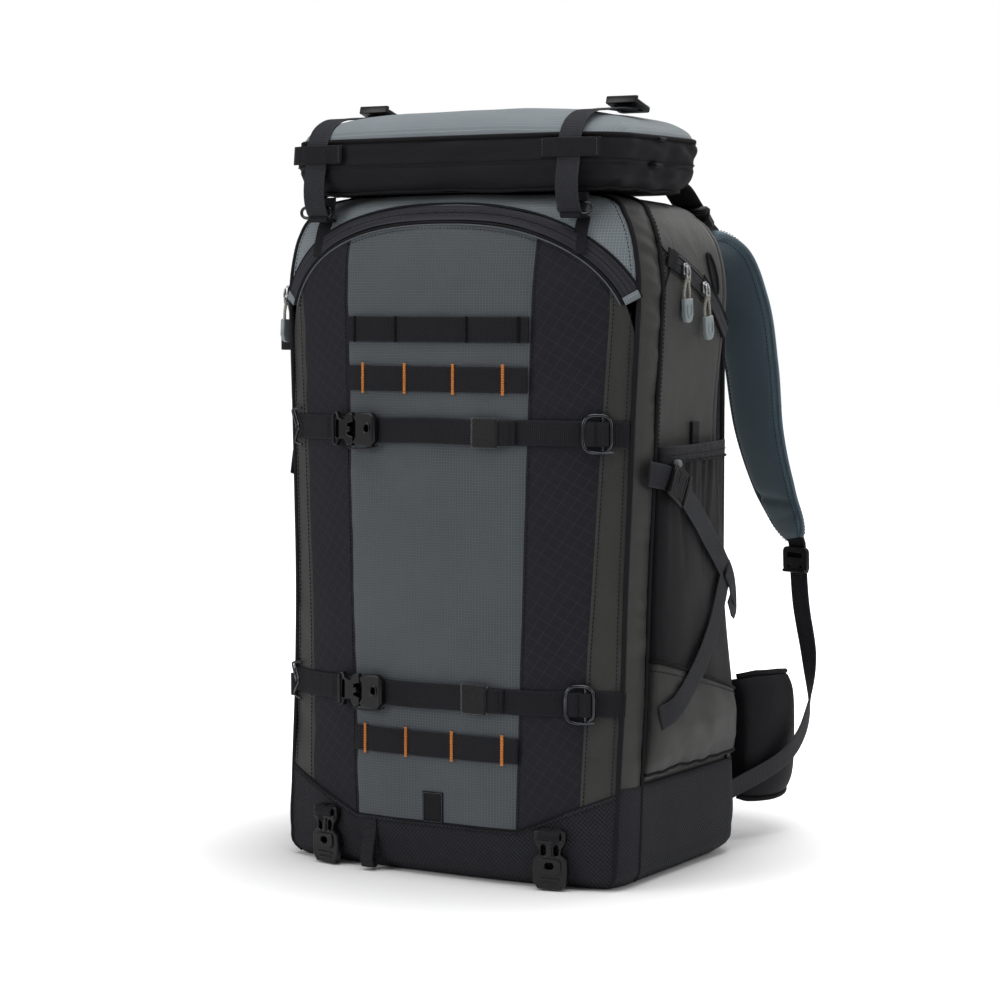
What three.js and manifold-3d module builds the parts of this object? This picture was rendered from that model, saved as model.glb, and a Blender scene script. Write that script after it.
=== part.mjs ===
// A camera backpack standing on its base: a padded body with a zipped front pocket, a lid on top, stretch pockets on
// the sides, webbing with buckles across the front, and a harness of shoulder straps and a waist belt behind.
// Millimetres. X runs across the pack, -Y is the front panel, +Y is the harness, +Z is up.
// The origin lies on the flat underside of the base.
import * as THREE from "three";
import { mergeVertices } from "three/addons/utils/BufferGeometryUtils.js";
import Module from "manifold-3d";

const wasm = await Module();
wasm.setup();

// Body
const bodyWidth = 324;
const bodyHeight = 541;
const frontReach = 115; // from the origin forward to the crown of the front panel
const backReach = 110; // from the origin back to the body's rear edge
const gussetDepth = 30; // the band between the front panel and the side panel
const gussetFlare = 4; // how far the side panel stands outside the front panel
const backCorner = 24;
const paddedWall = 9;
const clothWall = 2.4;
const dividerWall = 8;
const gap = 0.3; // left between pieces that touch
const doorMargin = 26; // rim below the rear opening, and its corner radius
const doorSide = 35; // solid stretch beside the rear opening
const doorDrop = 69; // from the body's top down to the top of the rear opening

// Base
const baseSkin = 1.7;
const skirtFrontRise = 44; // height of the base cover in the middle of the front
const skirtSideRise = 80;
const skirtFlat = 75; // half width of the low stretch in front

// Zipped arch of the front pocket, a superellipse
const archHalf = 166;
const archBase = 415;
const archRise = 112;
const archPower = 2.4;
const zipTape = 15;
const zipThick = 1.8;

// Webbing
const webWidth = 20;
const webThick = 1.5;
// Webbing rows on the middle of the front: height and half length
const daisyRows = {
  daisy_top: { z: 436, half: 84 },
  daisy_middle: { z: 397, half: 83 },
  daisy_bottom: { z: 107, half: 76 },
};
// Compression straps: height, buckle and hook places across
const frontStraps = {
  upper: { z: 356, buckle: -72, hook: 135 },
  lower: { z: 146, buckle: -66, hook: 124 },
};
const frontStrapReach = 156;

// Lid
const lidWidth = 304;
const lidFront = 102;
const lidBack = 68;
const lidHeight = 69;
const lidCorner = 34;
const lidWall = 2.6;
const lidStrapInset = 35; // from the lid's side to the middle of its strap

// Side pockets
const pocketTop = 345;
const pocketFoot = 84;
const pocketSeam = 152; // where the stretch cloth meets the lower panel
const pocketBulge = 18;

// Harness
const backPanelThick = 12;
const backPanelHalf = 136;
const backPanelDrop = 49; // from the body's top down to the panel's head
const padThick = 14;
const lumbarHeight = 92;
const shoulderWidth = 66;
const shoulderThick = 13;
const beltHeight = 108;
const beltThick = 17;
const beltCentre = 88;
const beltWebWidth = 38;
const beltBuckleLength = 64;
const beltBuckleThick = 8;
const handleWidth = 15;
const handleThick = 4;

const lift = baseSkin + gap; // the body stands on the base cover
const bodyTop = lift + bodyHeight;
const doorRise = bodyTop - doorDrop;
const lidStrapX = lidWidth / 2 - lidStrapInset;

// Heights are shares of bodyHeight, wide and tail of half bodyWidth, crown and edge of frontReach, back of backReach.
// Crown is the middle of the front, edge the seam where the front panel ends, tail the width at the rear.
const bodySections = [
  { up: 0, wide: 0.885, crown: 0.86, edge: 0.75, tail: 0.9, back: 0.93 },
  { up: 0.013, wide: 0.925, crown: 0.94, edge: 0.79, tail: 0.955, back: 1.01 },
  { up: 0.04, wide: 0.938, crown: 0.975, edge: 0.8, tail: 0.97, back: 1.05 },
  { up: 0.11, wide: 0.94, crown: 0.995, edge: 0.785, tail: 0.975, back: 1.06 },
  { up: 0.26, wide: 0.945, crown: 1, edge: 0.73, tail: 0.93, back: 1.02 },
  { up: 0.42, wide: 0.95, crown: 1, edge: 0.7, tail: 0.9, back: 0.985 },
  { up: 0.56, wide: 0.965, crown: 1, edge: 0.685, tail: 0.9, back: 0.985 },
  { up: 0.69, wide: 0.98, crown: 0.995, edge: 0.675, tail: 0.905, back: 0.99 },
  { up: 0.8, wide: 0.995, crown: 0.99, edge: 0.665, tail: 0.94, back: 0.99 },
  { up: 0.865, wide: 1, crown: 0.98, edge: 0.66, tail: 0.955, back: 0.98 },
  { up: 0.905, wide: 0.985, crown: 0.96, edge: 0.65, tail: 0.945, back: 0.955 },
  { up: 0.94, wide: 0.955, crown: 0.92, edge: 0.635, tail: 0.92, back: 0.89 },
  { up: 0.965, wide: 0.91, crown: 0.865, edge: 0.61, tail: 0.875, back: 0.78 },
  { up: 0.989, wide: 0.81, crown: 0.77, edge: 0.55, tail: 0.78, back: 0.45 },
  { up: 1, wide: 0.64, crown: 0.62, edge: 0.45, tail: 0.61, back: 0 },
];

// Heights are shares of lidHeight, wide of half lidWidth, front of lidFront, back of lidBack.
const lidSections = [
  { up: 0, wide: 0.9, front: 0.87, back: 0.86 },
  { up: 0.09, wide: 0.95, front: 0.95, back: 0.93 },
  { up: 0.26, wide: 0.985, front: 1, back: 0.98 },
  { up: 0.44, wide: 1, front: 1, back: 1 },
  { up: 0.62, wide: 0.985, front: 0.97, back: 0.98 },
  { up: 0.77, wide: 0.93, front: 0.9, back: 0.92 },
  { up: 0.885, wide: 0.79, front: 0.76, back: 0.78 },
  { up: 0.96, wide: 0.56, front: 0.54, back: 0.55 },
  { up: 1, wide: 0.26, front: 0.25, back: 0.25 },
];

// Up runs from pocketFoot to pocketTop, out is a share of pocketBulge.
const pocketSections = [
  { up: 0, out: 0.02 },
  { up: 0.06, out: 0.7 },
  { up: 0.14, out: 1 },
  { up: 0.26, out: 1 },
  { up: 0.5, out: 0.8 },
  { up: 0.78, out: 0.7 },
  { up: 1, out: 0.72 },
];

const vec = (x, y, z) => new THREE.Vector3(x, y, z);

// Solids and meshes

function solidFrom(positions, triangles) {
  let volume = 0;
  const corner = (i) => vec().fromArray(positions, 3 * i);
  for (let i = 0; i < triangles.length; i += 3) {
    const [a, b, c] = triangles.slice(i, i + 3).map(corner);
    volume += a.dot(b.cross(c));
  }
  const facing = volume < 0 ? [...triangles].reverse() : triangles;
  return new wasm.Manifold(
    new wasm.Mesh({ numProp: 3, vertProperties: new Float32Array(positions), triVerts: new Uint32Array(facing) }),
  );
}

function solidOf(geometry) {
  const bare = geometry.clone();
  bare.deleteAttribute("normal");
  bare.deleteAttribute("uv");
  const merged = mergeVertices(bare, 1e-4);
  return solidFrom([...merged.attributes.position.array], [...merged.index.array]);
}

function geometryOf(solid) {
  const mesh = solid.getMesh();
  const positions = new Float32Array(mesh.numVert * 3);
  for (let i = 0; i < mesh.numVert; i++) {
    positions.set(mesh.vertProperties.subarray(i * mesh.numProp, i * mesh.numProp + 3), i * 3);
  }
  const geometry = new THREE.BufferGeometry();
  geometry.setAttribute("position", new THREE.BufferAttribute(positions, 3));
  geometry.setIndex(new THREE.BufferAttribute(mesh.triVerts, 1));
  geometry.computeVertexNormals();
  return geometry;
}

function mirrored(solid) {
  const geometry = geometryOf(solid);
  geometry.scale(-1, 1, 1);
  return solidFrom([...geometry.attributes.position.array], [...geometry.index.array]);
}

// A closed solid through rings of equally many points. Open rings get an end cap each, a closed row of rings none.
// The second half of each ring is split the other way, so that a mirrored form keeps mirrored facets.
function loft(rings, closed = false) {
  const count = rings[0].length;
  const positions = rings.flat().flatMap((p) => p.toArray());
  const triangles = [];
  const spans = closed ? rings.length : rings.length - 1;
  for (let k = 0; k < spans; k++) {
    const low = k * count;
    const high = ((k + 1) % rings.length) * count;
    for (let i = 0; i < count; i++) {
      const j = (i + 1) % count;
      const quad = [low + i, low + j, high + j, high + i];
      const [a, b, c, d] = i < count / 2 ? quad : [quad[1], quad[2], quad[3], quad[0]];
      triangles.push(a, b, c, a, c, d);
    }
  }
  if (!closed) {
    const cap = (first, flip) => {
      for (let i = 1; i < count - 1; i++) {
        triangles.push(first, first + (flip ? i + 1 : i), first + (flip ? i : i + 1));
      }
    };
    cap(0, true);
    cap((rings.length - 1) * count, false);
  }
  return solidFrom(positions, triangles);
}

// A plane shape drawn in X and Z, pushed through from y0 to y1.
function throughY(points, y0, y1) {
  const shape = new THREE.Shape(points.map(([x, z]) => new THREE.Vector2(x, z)));
  const geometry = new THREE.ExtrudeGeometry(shape, { depth: y1 - y0, bevelEnabled: false });
  geometry.rotateX(Math.PI / 2);
  geometry.translate(0, y1, 0);
  return solidOf(geometry);
}

// A plane shape drawn in Y and Z, pushed through from x0 to x1.
function throughX(points, x0, x1) {
  const shape = new THREE.Shape(points.map(([y, z]) => new THREE.Vector2(y, z)));
  const geometry = new THREE.ExtrudeGeometry(shape, { depth: x1 - x0, bevelEnabled: false });
  geometry.applyMatrix4(new THREE.Matrix4().makeBasis(vec(0, 1, 0), vec(0, 0, 1), vec(1, 0, 0)));
  geometry.translate(x0, 0, 0);
  return solidOf(geometry);
}

function block(x0, x1, y0, y1, z0, z1) {
  const geometry = new THREE.BoxGeometry(x1 - x0, y1 - y0, z1 - z0);
  geometry.translate((x0 + x1) / 2, (y0 + y1) / 2, (z0 + z1) / 2);
  return solidOf(geometry);
}

// Flat webbing along a path. Across is the direction of its width, one for the whole path or one a point.
function ribbon(path, across, width = webWidth, thick = webThick) {
  const rings = path.map((point, i) => {
    const ahead = path[Math.min(i + 1, path.length - 1)];
    const behind = path[Math.max(i - 1, 0)];
    const side = (Array.isArray(across) ? across[i] : across).clone().normalize();
    const face = ahead.clone().sub(behind).cross(side).normalize();
    const at = (w, t) =>
      point
        .clone()
        .addScaledVector(side, (w * width) / 2)
        .addScaledVector(face, (t * thick) / 2);
    return [at(-1, -1), at(1, -1), at(1, 1), at(-1, 1)];
  });
  return loft(rings);
}

// Round wire along a closed path.
function wireLoop(path, radius, sides = 5) {
  const middle = path.reduce((sum, p) => sum.add(p), vec()).divideScalar(path.length);
  const normal = path[0].clone().sub(middle).cross(path[1].clone().sub(middle)).normalize();
  const rings = path.map((point, i) => {
    const ahead = path[(i + 1) % path.length];
    const behind = path[(i + path.length - 1) % path.length];
    const outward = ahead.clone().sub(behind).cross(normal).normalize();
    return Array.from({ length: sides }, (_, k) => {
      const turn = (2 * Math.PI * k) / sides;
      return point
        .clone()
        .addScaledVector(outward, radius * Math.cos(turn))
        .addScaledVector(normal, radius * Math.sin(turn));
    });
  });
  return loft(rings, true);
}

function roundedRectangle(width, height, radius, steps = 3) {
  const points = [];
  const corners = [
    [1, -1, -90],
    [1, 1, 0],
    [-1, 1, 90],
    [-1, -1, 180],
  ];
  for (const [sx, sy, start] of corners) {
    for (let k = 0; k <= steps; k++) {
      const turn = THREE.MathUtils.degToRad(start + (90 * k) / steps);
      points.push([
        sx * (width / 2 - radius) + radius * Math.cos(turn),
        sy * (height / 2 - radius) + radius * Math.sin(turn),
      ]);
    }
  }
  return points;
}

// A plate cut from a flat outline with holes, seated in a local frame: right and up lie in the plate.
function plate(outline, holes, thick, seat, right, up) {
  const shape = new THREE.Shape(outline.map(([u, v]) => new THREE.Vector2(u, v)));
  for (const hole of holes) {
    shape.holes.push(new THREE.Path(hole.map(([u, v]) => new THREE.Vector2(u, v))));
  }
  const geometry = new THREE.ExtrudeGeometry(shape, { depth: thick, bevelEnabled: false });
  const u = right.clone().normalize();
  const w = u.clone().cross(up).normalize();
  const v = w.clone().cross(u);
  geometry.applyMatrix4(new THREE.Matrix4().makeBasis(u, v, w).setPosition(seat));
  return solidOf(geometry);
}

const group = new THREE.Group();

const finishes = {
  olive_cloth: { color: 0x4b4b48, roughness: 0.55, metalness: 0 },
  grey_cloth: { color: 0x5a6468, roughness: 0.6, metalness: 0 },
  black_cloth: { color: 0x2a2a2f, roughness: 0.7, metalness: 0 },
  base_cloth: { color: 0x222226, roughness: 0.75, metalness: 0 },
  stretch_cloth: { color: 0x232026, roughness: 0.6, metalness: 0 },
  harness_cloth: { color: 0x3a484f, roughness: 0.7, metalness: 0 },
  air_mesh: { color: 0x26282b, roughness: 0.85, metalness: 0 },
  webbing: { color: 0x242428, roughness: 0.8, metalness: 0 },
  zip_tape: { color: 0x3c3c44, roughness: 0.4, metalness: 0 },
  buckle_plastic: { color: 0x1b1b1d, roughness: 0.4, metalness: 0 },
  metal_hook: { color: 0x606066, roughness: 0.3, metalness: 1 },
  pull_rubber: { color: 0x77828a, roughness: 0.5, metalness: 0 },
};
const materials = Object.fromEntries(
  Object.entries(finishes).map(([name, look]) => [name, new THREE.MeshStandardMaterial(look)]),
);

function add(name, solid, finish) {
  const mesh = new THREE.Mesh(geometryOf(solid), materials[finish]);
  mesh.name = name;
  group.add(mesh);
}

function addPair(name, solid, finish) {
  add(`${name}_right`, solid, finish);
  add(`${name}_left`, mirrored(solid), finish);
}

// Body form

const mix = THREE.MathUtils.lerp;

// The named lines of the body's outline at one section: front crown, front edge, side and rear.
function lines(row, grow) {
  const half = (row.wide * bodyWidth) / 2 + grow;
  return {
    z: lift + row.up * bodyHeight + grow * (2 * row.up - 1),
    half,
    crown: -row.crown * frontReach - grow,
    edge: -row.edge * frontReach - grow,
    seam: -row.edge * frontReach + gussetDepth,
    rear: row.back * backReach + grow,
    rearHalf: (row.tail * bodyWidth) / 2 + grow,
  };
}

function rowAtHeight(rows, share) {
  const up = THREE.MathUtils.clamp(share, 0, 1);
  const next = Math.max(1, rows.findIndex((row) => row.up >= up));
  const [low, high] = [rows[next - 1], rows[next]];
  const between = (up - low.up) / (high.up - low.up);
  return Object.fromEntries(Object.keys(low).map((key) => [key, mix(low[key], high[key], between)]));
}
const sectionAt = (z) => rowAtHeight(bodySections, (z - lift) / bodyHeight);

// Where the points of a section lie, as shares of the front, side and rear corner.
const fine = { front: [0.3, 0.54, 0.73, 0.88, 1], side: [0.5], corner: [0.4] };
const coarse = { front: [0.5, 0.8, 1], side: [], corner: [0.5] };

function bodyRing(row, grow, detail) {
  const at = lines(row, grow);
  const corner = Math.min(backCorner, (at.rear - at.seam) / 3);
  const front = detail.front.map((t) => [at.half * t, mix(at.crown, at.edge, t ** 3)]);
  const gusset = [
    [at.half + 0.8 * gussetFlare, mix(at.edge, at.seam, 0.4)],
    [at.half + gussetFlare, at.seam],
  ];
  const side = [...detail.side, 1].map((t) => [
    mix(at.half + gussetFlare, at.rearHalf, t),
    mix(at.seam, at.rear - corner, t),
  ]);
  const round = [...detail.corner, 1].map((t) => [
    at.rearHalf - corner * (1 - Math.cos((t * Math.PI) / 2)),
    at.rear - corner * (1 - Math.sin((t * Math.PI) / 2)),
  ]);
  const right = [...front, ...gusset, ...side, ...round];
  const left = [...right].reverse().map(([x, y]) => [-x, y]);
  return [[0, at.crown], ...right, [0, at.rear], ...left].map(([x, y]) => vec(x, y, at.z));
}

const forms = new Map();
function bodyForm(grow, detail = fine) {
  const key = `${grow} ${detail === fine}`;
  if (!forms.has(key)) {
    const rows = detail === fine ? bodySections : bodySections.filter((_, i) => i % 2 === 0 || i === bodySections.length - 1);
    forms.set(key, loft(rows.map((row) => bodyRing(row, grow, detail))));
  }
  return forms.get(key);
}

// A skin of cloth lying on the body, from one distance above its surface to another.
const skin = (from, to) => bodyForm(to).subtract(bodyForm(from));

const far = 400; // beyond every piece

// The half space in front of the edge seam, moved back by shift.
function frontOfEdge(shift) {
  const line = bodySections.map((row) => [-row.edge * frontReach + shift, lift + row.up * bodyHeight]);
  return throughX([[line[0][0], -far], ...line, [line.at(-1)[0], 2 * far], [-far, 2 * far], [-far, -far]], -far, far);
}

function archShape(grow) {
  const points = [];
  const steps = 10;
  for (let k = -steps; k <= steps; k++) {
    const turn = (Math.PI / 2) * (1 - k / steps);
    const share = Math.abs(Math.cos(turn)) ** (2 / archPower);
    const rise = Math.sin(turn) ** (2 / archPower);
    points.push([Math.sign(Math.cos(turn)) * share * (archHalf + grow), archBase + rise * (archRise + grow)]);
  }
  const half = archHalf + grow;
  points[0] = [-half, archBase];
  points[points.length - 1] = [half, archBase];
  return [[half, -far], [-half, -far], ...points];
}
const archPrism = (grow) => throughY(archShape(grow), -far, 0);

// The front surface of the body: its height forward at a place across and up.
function frontY(x, z) {
  const at = lines(sectionAt(z), 0);
  return mix(at.crown, at.edge, Math.min(1, Math.abs(x) / at.half) ** 3);
}

// Point on the front, stood off by off, with the direction to its right and its outward normal.
function frontSeat(x, z, off) {
  const step = 4;
  const point = vec(x, frontY(x, z), z);
  const right = vec(2 * step, frontY(x + step, z) - frontY(x - step, z), 0).normalize();
  const up = vec(0, frontY(x, z + step) - frontY(x, z - step), 2 * step).normalize();
  const out = right.clone().cross(up);
  return { point: point.addScaledVector(out, off), right, up, out };
}

// The side surface of the body: its distance out at a place along and up.
function sideX(y, z) {
  const ring = bodyRing(sectionAt(z), 0, fine);
  const right = ring.slice(1, ring.length / 2);
  const next = Math.max(1, right.findIndex((p) => p.y >= y));
  const [low, high] = [right[next - 1], right[next]];
  return mix(low.x, high.x, (y - low.y) / (high.y - low.y));
}

// The part of space the base cover reaches up into, low in the middle of the front and higher at the sides.
function skirtPrism(grow) {
  const side = bodyWidth / 2;
  const outline = [
    [-far, -far],
    [far, -far],
    [far, skirtSideRise + grow],
    [side, skirtSideRise + grow],
    [skirtFlat, skirtFrontRise + grow],
    [-skirtFlat, skirtFrontRise + grow],
    [-side, skirtSideRise + grow],
    [-far, skirtSideRise + grow],
  ];
  return throughY(outline, -far, far);
}

// Body shell, front pocket and base

function makeBody() {
  const hollow = bodyForm(-paddedWall, coarse).subtract(frontOfEdge(gap + dividerWall));
  const doorHalf = bodyWidth / 2 - doorSide;
  const doorFoot = lift + doorMargin;
  const door = throughY(
    roundedRectangle(2 * doorHalf, doorRise - doorFoot, doorMargin).map(([x, z]) => [x, z + (doorRise + doorFoot) / 2]),
    backReach / 2,
    far,
  );
  const pocketRoom = archPrism(gap).intersect(frontOfEdge(gap));
  add("body_shell", bodyForm(0).subtract(pocketRoom).subtract(hollow).subtract(door), "olive_cloth");

  const pocket = bodyForm(0).intersect(archPrism(0)).intersect(frontOfEdge(0));
  add("front_pocket", pocket.subtract(bodyForm(-clothWall, coarse)), "grey_cloth");

  const tape = archPrism(zipTape / 2).subtract(archPrism(-zipTape / 2));
  const above = block(-far, far, -far, 0, archBase + zipTape, far * 2);
  add("zip_arch", skin(gap, gap + zipThick).intersect(tape).intersect(above).intersect(frontOfEdge(0)), "zip_tape");

  add("base_cover", skin(gap, lift).intersect(skirtPrism(0)), "base_cloth");
}

// Webbing, hooks and buckles on the front

const strapTop = gap + webThick; // height of the webbing's face above the body

function frontBand(x0, x1, z, from, to) {
  const band = block(x0, x1, -far, 0, z - webWidth / 2, z + webWidth / 2);
  return skin(from, to).intersect(band).intersect(frontOfEdge(0));
}

const seatedOn = (solid, height) => solid.subtract(bodyForm(height + gap));

// A side-release buckle half: waisted arms round a web bar.
function tongueOutline(length, width) {
  const waist = width * 0.3;
  return [
    [-length / 2, -width / 2],
    [-length / 2 + 4, -width / 2],
    [-length / 6, -waist],
    [length / 6, -waist],
    [length / 2 - 3, -width / 2],
    [length / 2, -width / 2],
    [length / 2, width / 2],
    [length / 2 - 3, width / 2],
    [length / 6, waist],
    [-length / 6, waist],
    [-length / 2 + 4, width / 2],
    [-length / 2, width / 2],
  ];
}

function slot(u, width, height) {
  return roundedRectangle(width, height, Math.min(width, height) / 3, 2).map(([x, y]) => [x + u, y]);
}

const buckleWidth = webWidth + 7;
const buckleThick = 5;
const frontBuckleLength = 22;
const hookWire = 1.6;

function makeFrontStrap(level, { z, buckle, hook }) {
  add(`front_strap_${level}`, frontBand(-frontStrapReach, frontStrapReach, z, gap, strapTop), "webbing");

  const apart = frontBuckleLength / 2 + gap / 2;
  const lowered = strapTop - buckleThick / 4;
  const tongueSeat = frontSeat(buckle - apart, z, lowered);
  const tongue = plate(
    tongueOutline(frontBuckleLength, buckleWidth),
    [slot(-frontBuckleLength / 4, 3, webWidth * 0.5)],
    buckleThick,
    tongueSeat.point,
    tongueSeat.right,
    tongueSeat.up,
  );
  add(`buckle_${level}_tongue`, seatedOn(tongue, strapTop), "buckle_plastic");

  const socketSeat = frontSeat(buckle + apart, z, lowered);
  const socket = plate(
    roundedRectangle(frontBuckleLength, buckleWidth, 5),
    [slot(frontBuckleLength / 5, 4, 7)],
    buckleThick + 1,
    socketSeat.point,
    tongueSeat.right,
    tongueSeat.up,
  );
  add(`buckle_${level}_socket`, seatedOn(socket, strapTop), "buckle_plastic");

  const hookSeat = frontSeat(hook, z, strapTop + gap + hookWire);
  const wire = roundedRectangle(22, webWidth + 9, 7, 2).map(([u, v]) =>
    hookSeat.point.clone().addScaledVector(hookSeat.right, u).addScaledVector(hookSeat.up, v),
  );
  add(`hook_${level}`, seatedOn(wireLoop(wire, hookWire), strapTop), "metal_hook");
}

function makeFrontWebbing() {
  for (const [name, row] of Object.entries(daisyRows)) {
    add(name, frontBand(-row.half, row.half, row.z, gap, strapTop), "webbing");
  }
  for (const [level, row] of Object.entries(frontStraps)) {
    makeFrontStrap(level, row);
  }
}

// Buckles that hang over the base's front edge, and the pull loop beside them
const baseBuckleX = 104;
const baseBuckleTop = 48;
const baseBuckleFoot = 1;
const pullX = -60;
const pullTop = 42;
const pullFoot = 2;
const pullWidth = 12;

function makeBaseFittings() {
  const length = baseBuckleTop - baseBuckleFoot;
  const outline = [
    [-13, length / 2],
    [13, length / 2],
    [12, length / 4],
    [9, length / 8],
    [14, 0],
    [14, -length / 3],
    [9, -length / 2],
    [-9, -length / 2],
    [-14, -length / 3],
    [-14, 0],
    [-9, length / 8],
    [-12, length / 4],
  ];
  const webSlot = roundedRectangle(webWidth - 3, 3.5, 1, 2).map(([u, v]) => [u, v + length * 0.37]);
  const eye = roundedRectangle(9, 5, 2, 2).map(([u, v]) => [u, v - 1]);
  const z = (baseBuckleTop + baseBuckleFoot) / 2;
  const seat = frontSeat(baseBuckleX, z, lift - 1);
  const buckle = plate(outline, [webSlot, eye], buckleThick + 1.5, seat.point, seat.right, vec(0, 0, 1));
  addPair("base_buckle", seatedOn(buckle, lift), "buckle_plastic");

  const drop = pullTop - pullFoot;
  const pullAt = (share, off) => {
    const z = pullTop - share * drop;
    return vec(pullX, frontY(pullX, z) - lift - gap - webThick / 2 - off, z);
  };
  const foot = pullAt(0.72, 0).y;
  const path = [
    pullAt(0, 0),
    pullAt(0.4, 0.2),
    pullAt(0.72, 0.4),
    vec(pullX, foot - 2.5, pullFoot + webThick),
    vec(pullX, foot - 7, pullFoot + webThick),
    vec(pullX, foot - 9, pullFoot + 0.2 * drop),
    pullAt(0.5, 6.3),
    pullAt(0.18, 2.4),
  ];
  add("base_pull", seatedOn(ribbon(path, vec(1, 0, 0), pullWidth), lift), "webbing");
}

// Lid

const lidFoot = bodyTop + gap;

function lidRing(row, grow) {
  const half = (row.wide * lidWidth) / 2 + grow;
  const front = -row.front * lidFront - grow;
  const rear = row.back * lidBack + grow;
  const corner = Math.min(lidCorner, half / 2, (rear - front) / 3);
  const z = lidFoot + row.up * lidHeight + grow * (2 * row.up - 1);
  return roundedRectangle(2 * half, rear - front, corner).map(([x, y]) => {
    const bow = y < 0 ? 1 - (x / half) ** 2 : 0;
    return vec(x, y + (front + rear) / 2 - 5 * bow * row.wide, z);
  });
}

const lidForm = (grow) => loft(lidSections.map((row) => lidRing(row, grow)));

// The front face of the lid at a place across and up.
function lidFrontY(x, z) {
  const ring = lidRing(rowAtHeight(lidSections, (z - lidFoot) / lidHeight), 0);
  const front = ring.filter((p) => p.y < 0).sort((p, q) => p.x - q.x);
  const next = Math.max(1, front.findIndex((p) => p.x >= Math.min(Math.abs(x), front.at(-1).x)));
  const [low, high] = [front[next - 1], front[next]];
  return mix(low.y, high.y, THREE.MathUtils.clamp((Math.abs(x) - low.x) / (high.x - low.x), 0, 1));
}

function makeLid() {
  const outer = lidForm(0);
  const floorTop = lidFoot + lidWall;
  const shell = outer.subtract(lidForm(-lidWall)).subtract(block(-far, far, -far, far, 0, floorTop + gap));
  add("lid_shell", shell, "black_cloth");
  add("lid_floor", outer.intersect(block(-far, far, -far, far, 0, floorTop)), "black_cloth");
}

// The lid's front straps: webbing from an adjuster on top, down the face, round a ring and back up behind itself
const keeperLength = 50;
const keeperRise = 0.47; // share of lidHeight
const ringFoot = 527;
const anchorFoot = 494;

function makeLidStraps() {
  const x = vec(1, 0, 0);
  const keeperZ = lidFoot + keeperRise * lidHeight;
  const off = gap + webThick / 2 + 0.5;
  const down = [0.885, 0.77, 0.62, 0.44, 0.26].map((up) => {
    const z = lidFoot + up * lidHeight;
    return vec(lidStrapX, lidFrontY(lidStrapX, z) - off, z);
  });
  const topBack = vec(lidStrapX, -12, lidFoot + 0.93 * lidHeight + webThick);
  const path = [
    topBack,
    vec(lidStrapX, -55, lidFoot + 0.915 * lidHeight + webThick),
    ...down,
    vec(lidStrapX, -lidFront - off - 1, lidFoot + 2),
    vec(lidStrapX, -lidFront - off - 2.5, ringFoot + 9),
    vec(lidStrapX, -lidFront - off, ringFoot),
    vec(lidStrapX, -lidFront - off + 5, ringFoot - 1),
    vec(lidStrapX, -lidFront - off + 9.5, ringFoot + 6),
    vec(lidStrapX, -lidFront - off + 8.5, lidFoot - 3.5),
  ];
  const strap = ribbon(path, x).subtract(lidForm(gap)).subtract(bodyForm(2 * gap));
  addPair("lid_strap", strap, "webbing");

  const keeperHalf = keeperLength / 2;
  const keeperPath = [-1, -0.62, -0.42, 0.42, 0.62, 1].map((t, i) => {
    const over = i === 2 || i === 3 ? webThick + gap : 0;
    return vec(lidStrapX + t * keeperHalf, lidFrontY(lidStrapX + t * keeperHalf, keeperZ) - off - over, keeperZ);
  });
  const keeper = ribbon(keeperPath, vec(0, 0, 1), 15);
  const strapRoom = ribbon(path, x, webWidth + 2 * gap, webThick + 2 * gap);
  addPair("lid_keeper", keeper.subtract(lidForm(gap)).subtract(strapRoom), "webbing");

  const ringX = lidStrapX + 3;
  const ringY = -lidFront - off + 2.6;
  const ring = roundedRectangle(webWidth + 10, 8, 3.5, 2).map(([u, v]) => vec(ringX + u, ringY, ringFoot + 2.5 + v));
  const anchorOff = gap + webThick / 2;
  const anchorPath = [anchorFoot, mix(anchorFoot, ringFoot, 0.4), mix(anchorFoot, ringFoot, 0.75)].map(
    (z) => frontSeat(lidStrapX, z, anchorOff).point,
  );
  anchorPath.push(vec(lidStrapX, ringY, ringFoot - 1.5));
  const zipRoom = archPrism(zipTape / 2 + gap);
  const anchor = ribbon(anchorPath, x, webWidth - 2).subtract(bodyForm(gap)).subtract(zipRoom);
  addPair("lid_anchor", wireLoop(ring, 1.3, 5).add(anchor).subtract(strapRoom), "webbing");

  const adjusterTilt = 0.28;
  const adjuster = plate(
    roundedRectangle(webWidth + 8, 26, 3, 2),
    [slot(0, webWidth - 4, 3.5)],
    4.5,
    vec(lidStrapX, -10, lidFoot + 0.944 * lidHeight + webThick),
    x,
    vec(0, 1, -adjusterTilt),
  );
  addPair("lid_adjuster", adjuster.subtract(lidForm(gap)).subtract(strapRoom), "buckle_plastic");
}

// Side pockets: cloth standing off the side panel, gathered in at its foot

function pocketOut(z) {
  return pocketBulge * rowAtHeight(pocketSections, (z - pocketFoot) / (pocketTop - pocketFoot)).out;
}

// Place on the pocket: share 0 at the front seam and 1 at the rear corner, stood off by off.
function pocketPoint(share, z, off) {
  const at = lines(sectionAt(z), 0);
  const end = at.rear - backCorner / 2;
  const out = pocketOut(z) * Math.sin(Math.PI * THREE.MathUtils.clamp(share, 0, 1)) ** 0.28;
  return vec(mix(at.half + gussetFlare, at.rearHalf - 2, share) + gap + out + off, mix(at.seam, end, share), z);
}

const pocketWall = 1.6;
const hemHeight = 13;
const hemExtra = 0.6; // how much thicker the hem is than the stretch cloth
const panelExtra = 0.4;

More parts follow.
